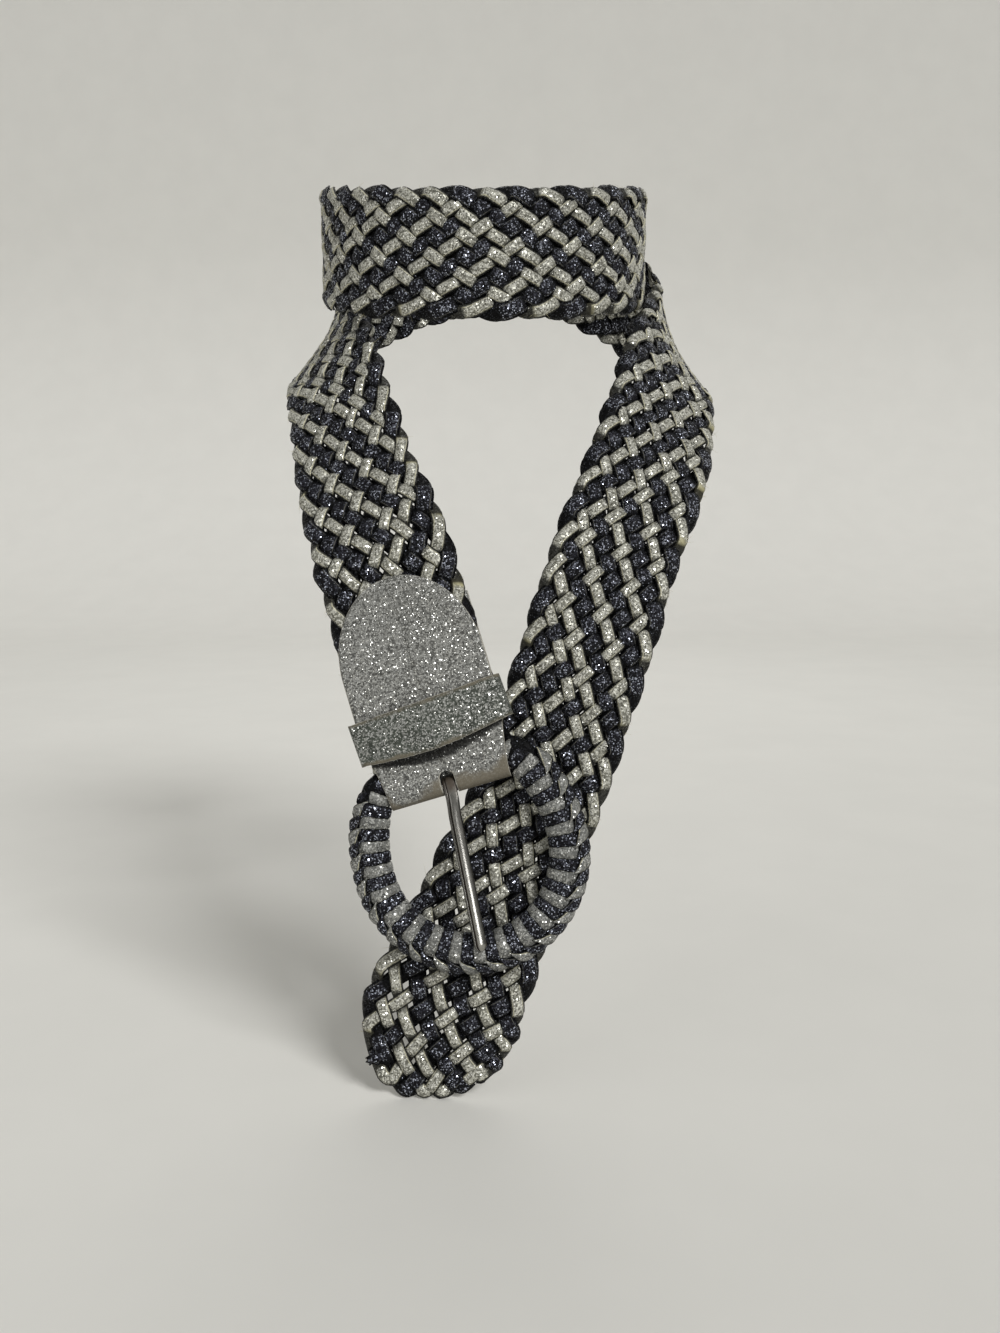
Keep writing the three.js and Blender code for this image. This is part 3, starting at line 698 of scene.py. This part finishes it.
def strip_lattice(settings):
    """Places of all strips in the strap: row number along, place across from -1 to 1, height, side and turn.

    A strip goes across one cell for each row, and turns back at the edges on an arc: distance from the edge =
    square root of (rows since the turn squared + rounding squared). It is over and under by turns."""
    strips = settings.strips
    rounding = 0.5
    rows = 2 * round(ROUTE.length / settings.edge_pitch)
    fine = 5
    count = rows * fine + 4
    row = np.arange(count) / fine
    local = row[None, :] + settings.phase - 2 * np.arange(strips)[:, None]
    pass_number = np.floor(local / strips)
    since = local - strips * pass_number
    rising = np.where(pass_number % 2 == 0, 1.0, -1.0)
    nearest = np.minimum(since, strips - since)
    curved = softened(nearest, rounding)
    side = np.where(since < strips / 2, -rising, rising)
    across = side * (strips / 2 - curved) / (strips / 2 - rounding)
    turning = np.where(since < 1, -np.sin(np.pi * since / 2), 0)
    turning = np.where(since > strips - 1, np.sin(np.pi * (strips - since) / 2), turning)
    level = np.where(nearest < 1, turning, rising * np.cos(np.pi * local))
    stay = np.where(np.arange(strips) % 2 == 0, 0.3, -0.3)[:, None]
    height = np.tanh(2.6 * (level + stay * (nearest >= 1))) / math.tanh(2.6)
    to_end = rows - row
    beyond = np.where(to_end < 0, 1.0, 0.0)
    bent = (rows - softened(np.abs(to_end), rounding)) / (rows - rounding)
    height = height * (1 - beyond) + beyond * (1 + 3 * to_end)
    return bent[None, :] + 0 * across, across, height, side, nearest


def strip_paths(settings):
    """Middle lines of the strips, across and face directions, wear, height in the weave and way to the edge.

    Near the free end the lattice is bent into a round tip: along = x times the root of (1 - half of y
    squared), across = y times the root of (1 - half of x squared), then pushed out to the tip's outline."""
    along, across, height, side, nearest = strip_lattice(settings)
    half = settings.charcoal_width / 2
    length = ROUTE.length - half
    distance = along * length
    tip = TIP_LENGTH - half
    x = np.clip((distance - (length - tip)) / tip, 0, 1)
    y = across
    bent_x = x * np.sqrt(1 - y**2 / 2 * ease(x, 0, 0.5))
    bent_y = y * np.sqrt(1 - x**2 / 2)
    radius = np.hypot(bent_x, bent_y)
    cosine, sine = bent_x / np.maximum(radius, 1e-6), np.abs(bent_y) / np.maximum(radius, 1e-6)
    outline = np.maximum(cosine**2.6 + sine**2.2, 0.5) ** (-1 / 2.4)
    push = 1 + (outline - 1) * radius**2 * ease(x, 0, 0.3)
    distance = np.where(x > 0, length - tip + tip * bent_x * push, distance)
    middle, sideways, face, wide = ROUTE.at(distance)
    shape = across.shape
    loose = 0.28 * MM * wander(shape, 11)
    reach = (wide - half) * bent_y * push + loose * np.clip(nearest, 0, 1)
    proud = np.where(np.arange(settings.strips) % 2 == 0, 1.15, 0.78)[:, None]
    rise = settings.weave_depth * proud * height + 0.06 * MM * wander(shape, 12)
    paths = middle + sideways * reach[..., None] + face * rise[..., None]
    roll = side * 0.55 * np.exp(-((nearest / 0.75) ** 2)) + 0.06 * wander(shape, 13)
    over, out = rolled(paths, face, roll)
    worn = np.clip(1 - nearest / 1.1, 0, 1) * (0.55 + 0.45 * wander(shape, 14))
    return paths, over, out, np.clip(worn, 0, 1), height, over * side[..., None]


class BELT_OT_strips(Operator):
    """Weave the strap from silver and charcoal strips"""

    bl_idname = "belt.strips"
    bl_label = "Woven strips"

    def execute(self, context):
        """Half width = half the strip's width x slow waves, a twentieth less on the hanging ends. Painted
        shade is eased from the height in the weave of the side that faces out, so the ends of passes that
        dive under are darker, and the section's feet add their own painted shade."""
        settings = context.scene.belt_braid
        paths, over, out, worn, height, _ = strip_paths(settings)
        widths = np.where(np.arange(settings.strips) % 2 == 0, settings.silver_width, settings.charcoal_width)
        wide = widths[:, None] / 2 * (1 + 0.06 * wander(worn.shape, 15))
        wide = wide * (1 - 0.05 * ease(paths[..., 2], -30 * MM, -60 * MM))
        tones = (settings.silver_ground, settings.silver_flake, settings.silver_glint)
        leather = (settings.cut_edge, settings.backing, SILVER_GRAIN)
        finishes = {
            "silver": glitter_leather("silver glitter strip", *tones, *leather),
            "charcoal": charcoal_leather("charcoal glitter strip", settings),
        }
        for colour, first in (("silver", 0), ("charcoal", 1)):
            chosen = slice(first, None, 2)
            lines = (paths[chosen], over[chosen], out[chosen])
            points, quads, rim = sweep(*lines, STRIP_SECTION, wide[chosen], settings.strip_thickness / 2)
            tired = worn[chosen][..., None] * (1.0 if colour == "silver" else 0.4) + 0 * rim
            facing = height[chosen][..., None] * np.sign(STRIP_SECTION[:, 1])
            painted_shade = np.maximum(ease(facing, 0.5, -0.7), STRIP_SECTION[:, 3])
            labels = {"rim": rim, "worn": tired, "shade": painted_shade}
            made = mesh_object(f"{colour}_strips", points, quads, finishes[colour], labels)
            seat(made, "belt", f"{colour}_strip", "braided_strap")
        return {"FINISHED"}


class BELT_OT_fibres(Operator):
    """Pull loose fibres from the worn turns of the silver strips"""

    bl_idname = "belt.fibres"
    bl_label = "Loose fibres"

    def execute(self, context):
        """Fibre = root + length x (share x way + half of share squared x curl). Roots are drawn by wear, and
        up to 71 times as often close to the frayed spots."""
        settings = context.scene.belt_braid
        paths, _, out, worn, _, outward_way = (v[::2] for v in strip_paths(settings))
        source = np.random.default_rng(41)
        weight = np.where(worn > 0.3, 1.0, 0.0)
        for spot in FRAYED_SPOTS:
            near = np.linalg.norm(paths - np.array(spot) * MM, axis=-1)
            weight = weight * (1 + 70 * np.exp(-((near / (5 * MM)) ** 2)))
        chosen = source.choice(weight.size, settings.fibres, p=(weight / weight.sum()).ravel())
        pick = [v.reshape(-1, 3)[chosen] for v in (paths, outward_way, out)]
        count = len(chosen)
        root = pick[0] + pick[1] * settings.silver_width * 0.42
        way = unit(pick[1] + source.normal(0, 0.55, (count, 3)))
        curl = source.normal(0, 0.9, (count, 3))
        length = source.gamma(2.5, 0.55 * MM, (count, 1))[..., None]
        share = np.linspace(0, 1, 8)[None, :, None]
        hairs = root[:, None] + length * (share * way[:, None] + 0.5 * share**2 * curl[:, None])
        hairs += pick[2][:, None] * 0.1 * MM
        across, face = rolled(hairs, np.broadcast_to(pick[2][:, None], hairs.shape))
        thin = settings.fibre_width / 2 * (1 - 0.75 * share[..., 0])
        points, quads, _ = sweep(hairs, across, face, HAIR_SECTION, thin, thin)
        finish = frayed_fibre("leather fibre", settings.fibre_colour)
        made = mesh_object("loose_fibres", points, quads, finish)
        seat(made, "belt", "pale_cut_edge")
        return {"FINISHED"}


class BELT_OT_tab(Operator):
    """Fold the leather tab round the bar"""

    bl_idname = "belt.tab"
    bl_label = "Folded tab"

    def execute(self, context):
        """Rows down the front, round the bar on a half circle and up the back. The top's half width is an
        ellipse's, the slot's a circle's, and the front sags in slow waves."""
        settings = context.scene.belt_tab
        middle = FOLD_INSIDE + LEATHER / 2
        top = TAB_LENGTH - FOLD_OUTSIDE
        straight_top = top - TAB_ROUND_LENGTH
        angle = np.radians(np.linspace(3, 90, 34))
        round_y = top - TAB_ROUND_LENGTH * (1 - np.cos(angle))
        front_y = np.linspace(straight_top, SLOT_TOP, 40)[1:]
        slot_y = np.linspace(SLOT_TOP, 0, 12)[1:]
        turn = np.linspace(0, np.pi, 21)[1:]
        back_y = np.concatenate([np.array([0.8, 1.6, 2.4]) * MM, np.linspace(4 * MM, TAB_BACK_LENGTH, 38)])
        y = np.concatenate([round_y, front_y, slot_y, -middle * np.sin(turn), back_y])
        flat = len(round_y) + len(front_y) + len(slot_y)
        z = np.concatenate([np.full(flat, middle), middle * np.cos(turn), np.full(len(back_y), -middle)])
        out = z / middle
        half = tab_half_width(y)
        half[: len(round_y)] = TAB_WIDTH / 2 * np.sin(angle)
        from_top = SLOT_TOP - y
        rounded = np.sqrt(np.clip(1 - (1 - from_top / SLOT_HALF_WIDTH) ** 2, 0, 1))
        slot = SLOT_HALF_WIDTH * np.where(from_top < SLOT_HALF_WIDTH, rounded, 1.0)
        slot_rows = np.arange(len(y))
        in_slot = (slot_rows >= len(round_y) + len(front_y) - 1) & (slot_rows < flat + len(turn) + 3)
        slot = np.where(in_slot, slot, 0)
        slot[flat + len(turn) + 2] = 0
        share = np.linspace(0, 1, 19)
        right = slot[:, None] + (half - slot)[:, None] * share
        x = np.hstack([-right[:, ::-1], right])
        sag = 0.35 * MM * np.sin(x / half[:, None] * 2.1 + y[:, None] * 70) * ease(y, 0.01, 0.04)[:, None]
        points = from_buckle(x, y[:, None], z[:, None] + sag * (z[:, None] > 0))
        down = -np.sqrt(np.clip(1 - out**2, 0, 1))
        normal = down[:, None] * UP_TAB + out[:, None] * OUT_OF_FACE
        normals = np.broadcast_to(normal[:, None, :], points.shape)
        filled = np.ones((len(y) - 1, x.shape[1] - 1), dtype=bool)
        filled[:, len(share) - 1] = False
        both, quads = slab(points, normals, LEATHER, filled)
        to_side = half[:, None] - np.abs(x)
        to_slot = np.where(slot[:, None] > 0, 0.35 * (np.abs(x) - slot[:, None]), 1)
        to_top = np.where(y > straight_top, top - y, 1)[:, None]
        edge = np.minimum(np.minimum(to_side, to_slot), to_top * 1.2)
        rim = ease(edge, 0.9 * MM, 0)
        # Worn here is wear and painted shade: the fold's bottom and the leather turned downwards take the
        # darker worn colour as the fold's shade, and a patch right of the middle is rubbed
        fold_wear_and_shade, by_fold = ease(y, 6 * MM, 0)[:, None], ease(y, 14 * MM, 3 * MM)[:, None]
        rubbed_and_shaded = 0.5 * fold_wear_and_shade + 0.3 * by_fold * ease(x, 0, 0.02)
        worn = 0.35 * ease(edge, 5 * MM, 0) + 0.4 * (np.abs(down) ** 2)[:, None] + rubbed_and_shaded
        stain = np.exp(-(((x + 0.004) / 0.007) ** 2 + ((y[:, None] - 0.047) / 0.006) ** 2)) * (z[:, None] > 0)
        worn = np.clip(worn + 0.4 * stain, 0, 1)
        tones = (settings.ground, settings.flake, settings.glint, settings.edge, settings.worn)
        finish = glitter_leather("silver glitter tab", *tones, TAB_GRAIN)
        # Painted shadow of the keeper: a band on the tab's front just under the keeper's bowed lower edge is
        # darkened through the shade attribute
        flat_x = np.clip(x / half[:, None], -1, 1)
        under = KEEPER_FROM_BAR + x * math.sin(KEEPER_TILT) - KEEPER_WIDTH / 2
        under = y[:, None] - under + KEEPER_DROOP * np.cos(np.pi / 2 * flat_x)
        proud = (1.6 + 2.6 * np.cos(np.pi / 2 * flat_x)) * MM
        shade = ease(under + proud, -0.9 * MM, 0.5 * MM) * ease(under, KEEPER_WIDTH, KEEPER_WIDTH - MM)
        shade = shade * (z[:, None] > 0)
        labels = {"rim": [rim, rim], "worn": [worn, worn], "shade": [0.55 * shade, 0.55 * shade]}
        made = mesh_object("folded_tab", both, quads, finish, labels)
        weld(made)
        seat(made, "belt", "tab_glitter", "end_tab")
        return {"FINISHED"}


def weld(made):
    """Joins points that lie on each other, and drops faces that have closed up."""
    body = bmesh.new()
    body.from_mesh(made.data)
    bmesh.ops.remove_doubles(body, verts=body.verts, dist=0.01 * MM)
    body.to_mesh(made.data)
    body.free()


class BELT_OT_keeper(Operator):
    """Wrap the keeper loop round the tab"""

    bl_idname = "belt.keeper"
    bl_label = "Keeper loop"

    def execute(self, context):
        """A flattened loop in rows from its upper edge to its lower one: the front's lower edge hangs by the
        droop x half a sine and stands out by the bow x the same, and both edges fray in slow waves."""
        settings = context.scene.belt_tab
        middle = FOLD_OUTSIDE + FIT_GAP + LEATHER / 2
        half = tab_half_width(KEEPER_FROM_BAR + KEEPER_WIDTH / 2)
        half += FIT_GAP + LEATHER / 2 + KEEPER_WIDTH / 2 * math.sin(KEEPER_TILT)
        flat = np.linspace(0, 1, 40)
        bend = np.linspace(np.pi / 2, -np.pi / 2, 14)[1:-1]
        side_x, side_z = half + middle * 0.2 * np.cos(bend), middle * np.sin(bend)
        x = np.concatenate([half * (2 * flat - 1), side_x, half * (1 - 2 * flat), -side_x])
        z = np.concatenate([middle + 0 * flat, side_z, 0 * flat - middle, -side_z])
        bow = np.concatenate([np.sin(np.pi * flat), np.zeros(len(x) - len(flat))])
        out_z = z / middle
        out_x = np.sign(x) * np.sqrt(np.clip(1 - out_z**2, 0, 1))
        low = np.linspace(0, 1, 17)[:, None]
        fray = 0.16 * MM * np.vstack([wander((1, len(x)), 21, 7), wander((1, len(x)), 22, 7)])
        sway = fray[0] * (1 - low) ** 3 + fray[1] * low**3
        y = KEEPER_WIDTH * (0.5 - low) - KEEPER_DROOP * low * bow + sway
        deep = z + KEEPER_BOW * bow * (0.2 + 0.8 * low)
        turned_x = x * math.cos(KEEPER_TILT) - y * math.sin(KEEPER_TILT)
        turned_y = x * math.sin(KEEPER_TILT) + y * math.cos(KEEPER_TILT) + KEEPER_FROM_BAR
        points = from_buckle(turned_x, turned_y, deep)
        normal = unit(out_x[:, None] * ALONG_BAR + out_z[:, None] * OUT_OF_FACE)
        normals = np.broadcast_to(normal, points.shape)
        both, quads = slab(points, normals, LEATHER, np.ones((len(low) - 1, len(x)), dtype=bool), around=True)
        edge = KEEPER_WIDTH * np.minimum(low, 1 - low) + 0 * x
        rim = ease(edge, 1.2 * MM, 0)
        worn = 0.8 * ease(edge, 4 * MM, 0)
        tones = (settings.keeper_ground, settings.flake, settings.glint, settings.edge, settings.worn)
        finish = glitter_leather("silver glitter keeper", *tones, KEEPER_GRAIN)
        made = mesh_object("keeper_band", both, quads, finish, {"rim": [rim, rim], "worn": [worn, worn]})
        seat(made, "belt", "keeper_glitter", "keeper_loop")
        return {"FINISHED"}


def ring_upper(angle):
    """Half height of the ring's middle line: taller above its widest level than below."""
    return np.where(np.cos(angle) > 0, RING_UPPER_HEIGHT, RING_RADIUS)


# Angles from the ring's top, and the length along its middle line to each as a share of the radius, which is
# pi at the bottom
RING_ANGLES = np.radians(np.linspace(30, 330, 1201))
RING_STEPS = np.hypot(np.cos(RING_ANGLES), ring_upper(RING_ANGLES) / RING_RADIUS * np.sin(RING_ANGLES))
RING_TURNS = np.cumsum(RING_STEPS) * (RING_ANGLES[1] - RING_ANGLES[0])
RING_TURNS += math.pi - RING_TURNS[600]
BAR_TURN = np.interp(math.acos(RING_CENTRE_FROM_BAR / RING_UPPER_HEIGHT), RING_ANGLES, RING_TURNS)


def on_ring(turn, section_turn, lift=0.0):
    """Place and outward direction on the wound ring.

    Middle line = (radius x sine, half height x cosine), out = (half height x sine, radius x cosine), and
    place = middle line + half width x cosine out + half depth x sine forward, with lift added to the half
    width and the half depth. turn is the length along the ring as a share of its radius."""
    angle = np.interp(turn, RING_TURNS, RING_ANGLES)
    tall = ring_upper(angle)
    sine, cosine = np.sin(angle), np.cos(angle)
    middle = np.stack([RING_RADIUS * sine, tall * cosine - RING_CENTRE_FROM_BAR, 0 * turn], axis=-1)
    out = unit(np.stack([tall * sine, RING_RADIUS * cosine, 0 * turn], axis=-1))
    wide = np.maximum(RING_HALF_WIDTH + lift, 0.01 * MM)
    deep = np.maximum(RING_HALF_DEPTH + lift, 0.01 * MM)
    place = middle + out * (wide * np.cos(section_turn))[..., None]
    place[..., 2] = deep * np.sin(section_turn)
    normal = out * (np.cos(section_turn) / wide)[..., None]
    normal[..., 2] = np.sin(section_turn) / deep
    return BAR_PLACE + place @ BUCKLE_AXES, unit(normal) @ BUCKLE_AXES


class BELT_OT_wrap(Operator):
    """Wind the ring with bands that lock in a plaited ridge on its outer edge"""

    bl_idname = "belt.wrap"
    bl_label = "Wound ring"

    def execute(self, context):
        """A band = two halves, front and back, that each run round the ring's section from 208 to 52
        degrees, lifted by minus half a thickness and tucked in at both ends. The core under them has an oval
        section, slimmer towards the bar."""
        settings = context.scene.belt_ring
        braid = context.scene.belt_braid
        tab = context.scene.belt_tab
        bands = settings.bands
        start = BAR_TURN - settings.past_bar / RING_RADIUS
        pitch = (2 * np.pi - 2 * start) / bands
        thick = settings.band_thickness
        tones = (settings.silver, tab.flake, tab.glint, braid.cut_edge, braid.backing)
        silver = glitter_leather("silver wound band", *tones, BAND_GRAIN)
        charcoal = charcoal_leather("charcoal wound band", braid)
        share = np.linspace(0, 1, 26)[None, :]
        number = np.arange(bands)[:, None]
        centre = start + pitch * (number + 0.5) + 0.05 * pitch * wander((bands, share.size), 31, 2)
        pulled = -thick / 2 - 2.2 * MM * ease(np.minimum(number + 0.5, bands - number - 0.5) / bands, 0.07, 0)
        for finish, colour, first, fullness in ((silver, "silver", 0, 0.98), (charcoal, "charcoal", 1, 1.0)):
            runs = []
            for front in (1, -1):
                section_turn = front * np.radians(208 - 156 * share) + 0 * centre
                tucked = ease(share, 0.12, 0) + 1.4 * ease(share, 0.78, 1)
                lift = pulled + 0.1 * MM * front - 0.5 * MM * tucked
                place, normal = on_ring(centre, section_turn, lift)
                radius = RING_RADIUS + RING_HALF_WIDTH * np.cos(section_turn)
                wide = 0.5 * pitch * radius * fullness
                runs.append([v[first::2] for v in (place, normal, wide)])
            paths, guides, wide = (np.concatenate(part) for part in zip(*runs))
            across, face = rolled(paths, guides)
            points, quads, rim = sweep(paths, across, face, BAND_SECTION, wide, thick / 2)
            shade = BAND_SECTION[:, 3] + 0 * rim
            labels = {"rim": rim, "worn": 0.2 * rim, "shade": shade}
            made = mesh_object(f"{colour}_bands", points, quads, finish, labels)
            seat(made, "belt", f"wrap_{colour}", "frame_wrap")
            points, quads, labels = self.leaves(settings, centre[first::2, :1], pitch, pulled[first::2])
            made = mesh_object(f"{colour}_ridge", points, quads, finish, labels)
            seat(made, "belt", f"wrap_{colour}", "frame_wrap")
        angle = np.linspace(start - 0.02, 2 * np.pi - start + 0.02, 120)[None, :]
        around = np.linspace(0, 2 * np.pi, 17)[:-1]
        circle = np.stack([np.cos(around), np.sin(around), 0.2 + 0 * around], axis=1)
        core, _ = on_ring(angle, np.full(angle.shape, np.pi / 2), np.full(angle.shape, -RING_HALF_DEPTH))
        radial = np.stack([np.sin(angle), np.cos(angle), 0 * angle], axis=-1) @ BUCKLE_AXES
        forward = np.broadcast_to(OUT_OF_FACE, core.shape)
        full = ease(np.minimum(angle - start + 0.03, 2 * np.pi - start + 0.03 - angle), 0, 0.2)
        slim = 0.6 + 0.4 * full
        half_width, half_depth = (RING_HALF_WIDTH - thick) * slim, (RING_HALF_DEPTH - thick) * slim
        points, quads, rim = sweep(core, radial, forward, circle, half_width, half_depth)
        # The core is painted in full shade, so it reads as dark shadow in the gaps between the bands
        made = mesh_object("wound_core", points, quads, charcoal, {"shade": 1 + 0 * rim})
        seat(made, "belt", "wrap_charcoal", "frame_wrap")
        return {"FINISHED"}

    @staticmethod
    def leaves(settings, centre, pitch, pulled):
        """Leaves that the bands' ends make along the outer edge, a row in front and a row behind.

        Turn = band's turn less half a band at the point and the reach in bands at the head, section turn goes
        from 72 to 2 degrees, lift is an arch of half a sine, and width grows from nothing at the point."""
        share = np.linspace(0, 1, 18)[None, :]
        kept = centre[:, 0] > centre[0, 0] + settings.reach * pitch
        centre, pulled = centre[kept], pulled[kept]
        sway = 0.04 * pitch * wander((len(centre), share.size), 33, 2)
        turn = centre - pitch * (0.35 + (settings.reach - 0.35) * share) + sway
        runs = []
        for front in (1, -1):
            section_turn = front * np.radians(72 - 70 * share**0.9) + 0 * turn
            lift = pulled + (0.3 + 0.85 * np.sin(np.pi * share**0.8) - 0.5 * share) * MM
            runs.append([*on_ring(turn, section_turn, lift), front * (0.32 - 0.2 * share) + 0 * turn])
        paths, guides, roll = (np.concatenate(part) for part in zip(*runs))
        across, face = rolled(paths, guides, roll)
        wide = settings.leaf_width / 2 * (0.03 + ease(share, -0.1, 0.6) * (1 - 0.5 * ease(share, 0.75, 1)))
        points, quads, rim = sweep(paths, across, face, STRIP_SECTION, wide, settings.band_thickness * 0.42)
        return points, quads, {"rim": rim, "worn": 0.3 * rim, "shade": STRIP_SECTION[:, 3] + 0 * rim}


class BELT_OT_prong(Operator):
    """Roll the prong round the bar and finish the steel"""

    bl_idname = "belt.prong"
    bl_label = "Prong and frame"

    def execute(self, context):
        """Eye = circle round the bar, shank = straight, coming forward by its share to the power 0.8. The tip
        narrows by the root of (1 less the share past 0.955 squared). The section is an oval with a groove of
        a bell's shape."""
        settings = context.scene.belt_prong
        loop = BAR_RADIUS + FIT_GAP + PRONG_SHEET / 2
        rest = RING_HALF_DEPTH + FIT_GAP + PRONG_THICKNESS / 2
        turn = np.radians(np.linspace(368, 96, 40))
        share = np.concatenate([np.linspace(0.015, 0.93, 56), 1 - 0.07 * (1 - np.linspace(0.06, 1, 16)) ** 2])
        eye = np.stack([0 * turn, -loop * np.cos(turn), loop * np.sin(turn)], axis=1)
        down = share * PRONG_LENGTH
        skew = -down * math.tan(PRONG_SKEW) * ease(share, 0, 0.2)
        shank = np.stack([skew, -down, loop + (rest - loop) * share**0.8], axis=1)
        line = np.vstack([eye, shank])
        swelling = ease(share, 0, 0.14)
        ending = np.sqrt(np.clip(1 - np.clip((share - 0.955) / 0.0455, 0, 1) ** 2, 0.03, 1))
        wide = np.concatenate([np.ones(len(turn)), ending]) * PRONG_WIDTH / 2
        thick = PRONG_SHEET + (PRONG_THICKNESS - PRONG_SHEET) * swelling
        thick = np.concatenate([np.full(len(turn), PRONG_SHEET), thick * ending]) / 2
        path = (BAR_PLACE + line @ BUCKLE_AXES)[None]
        along = unit(np.gradient(path, axis=1))
        across = np.broadcast_to(ALONG_BAR, path.shape)
        face = unit(np.cross(along, across))
        around = np.linspace(0, 2 * np.pi, 49)[:-1]
        cosine, sine = np.cos(around), np.sin(around)
        groove = 0.55 * np.exp(-(((cosine + 0.5) / 0.1) ** 2)) * (sine > 0)
        section = np.stack([cosine, np.sign(sine) * np.abs(sine) ** 0.75 - groove, 0 * cosine], axis=1)
        facing = -1.0 if np.sum(face[0, -1] * OUT_OF_FACE) < 0 else 1.0
        points, quads, _ = sweep(path, across, face * facing, section, wide[None], thick[None])
        finish = polished_steel("prong steel", settings.steel, settings.stain, BAR_PLACE[2] - 0.006)
        # Painted shade along the seam's groove and on both sides of the prong, carried by the groove
        # attribute
        painted_seam_and_side_shade = 1.3 * np.exp(-(((cosine + 0.5) / 0.15) ** 2)) * (sine > 0)
        painted_seam_and_side_shade = np.broadcast_to(painted_seam_and_side_shade + 0.85 * ease(np.abs(cosine), 0.5, 0.95), points.shape[:3])
        made = mesh_object("rolled_prong", points, quads, finish, {"groove": painted_seam_and_side_shade})
        seat(made, "prong", "prong_steel", "prong")
        wire = polished_steel("frame steel", settings.steel, settings.stain, BAR_PLACE[2])
        bar = bpy.data.objects["buckle_frame"]
        bar.data.materials.clear()
        bar.data.materials.append(wire)
        return {"FINISHED"}


class BELT_OT_stage(Operator):
    """Set the floor, the soft lights and the camera"""

    bl_idname = "belt.stage"
    bl_label = "Stage"

    def execute(self, context):
        """The floor bends up into a wall on a quarter circle. The lamps and their sizes are soft."""
        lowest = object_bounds()[0].z
        reach, wall, bend = 6.0, 2.4, 1.0
        turn = np.linspace(0, np.pi / 2, 24)
        y = np.concatenate([[-reach], wall - bend + bend * np.sin(turn), [wall]])
        z = lowest + np.concatenate([[0], bend - bend * np.cos(turn), [reach]])
        points = np.stack([np.broadcast_arrays(side, y, z) for side in (-reach, reach)]).transpose(0, 2, 1)
        step = np.arange(len(y) - 1)
        quads = np.stack([step, step + len(y), step + len(y) + 1, step + 1], axis=1)
        floor = mesh_object("floor", points, quads, pale_floor("floor paper", (0.72, 0.71, 0.67)))
        floor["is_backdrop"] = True
        world = context.scene.world or bpy.data.worlds.new("studio")
        context.scene.world = world
        world.use_nodes = True
        back = world.node_tree.nodes["Background"]
        back.inputs["Color"].default_value = (0.74, 0.74, 0.72, 1)
        back.inputs["Strength"].default_value = 0.32
        self.lamp(context, "key", "SUN", (0.72, -0.85, 0.8), math.radians(22), 2.1)
        self.lamp(context, "fill", "AREA", (-0.9, -0.6, 0.25), 0.9, 1.5)
        self.lamp(context, "rim", "AREA", (0.1, 0.9, 0.7), 0.8, 2.0)
        self.lamp(context, "front", "AREA", (0.02, -1.1, -0.16), 0.16, 0.04).spread = math.radians(40)
        context.scene.view_settings.view_transform = "Standard"
        camera_data = bpy.data.cameras.new("camera")
        camera_data.lens = 27.3
        camera_data.sensor_width = 36
        camera = bpy.data.objects.new("camera", camera_data)
        camera.location = (0.006, -0.485, -0.105)
        camera.rotation_euler = (math.radians(82), 0, 0)
        context.scene.collection.objects.link(camera)
        context.scene.camera = camera
        return {"FINISHED"}

    @staticmethod
    def lamp(context, name, kind, place, width, power):
        """A square lamp, or a soft sun of that angle, that faces the middle of the belt."""
        data = bpy.data.lights.new(name, kind)
        if kind == "SUN":
            data.angle = width
        else:
            data.size = width
        data.energy = power
        lamp = bpy.data.objects.new(name, data)
        lamp.location = place
        aim = np.array([0, -0.05, -0.13]) - np.array(place)
        flat = math.hypot(aim[0], aim[1])
        lamp.rotation_euler = (math.atan2(flat, -aim[2]), 0, math.atan2(-aim[0], aim[1]))
        context.scene.collection.objects.link(lamp)
        return data


class BELT_PT_panel(Panel):
    """Buttons for the belt's pieces"""

    bl_idname = "BELT_PT_panel"
    bl_label = "Braided belt"
    bl_space_type = "VIEW_3D"
    bl_region_type = "UI"
    bl_category = "Belt"

    def draw(self, context):
        for operator in PIECES:
            self.layout.operator(operator.bl_idname)


SETTINGS = {
    "belt_braid": BraidSettings,
    "belt_tab": TabSettings,
    "belt_ring": RingSettings,
    "belt_prong": ProngSettings,
}
PIECES = (
    BELT_OT_strips,
    BELT_OT_fibres,
    BELT_OT_tab,
    BELT_OT_keeper,
    BELT_OT_wrap,
    BELT_OT_prong,
    BELT_OT_stage,
)


def register():
    """Adds the settings, the pieces' operators and the panel."""
    for group in SETTINGS.values():
        bpy.utils.register_class(group)
    for label, group in SETTINGS.items():
        setattr(bpy.types.Scene, label, PointerProperty(type=group))
    for piece in (*PIECES, BELT_PT_panel):
        bpy.utils.register_class(piece)


def unregister():
    """Takes away what register has added."""
    for piece in (BELT_PT_panel, *PIECES):
        bpy.utils.unregister_class(piece)
    for label, group in SETTINGS.items():
        delattr(bpy.types.Scene, label)
        bpy.utils.unregister_class(group)


def main():
    """Runs every piece's operator."""
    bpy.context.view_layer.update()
    register()
    for piece in PIECES:
        family, name = piece.bl_idname.split(".")
        getattr(getattr(bpy.ops, family), name)()


if __name__ == "__main__":
    main()
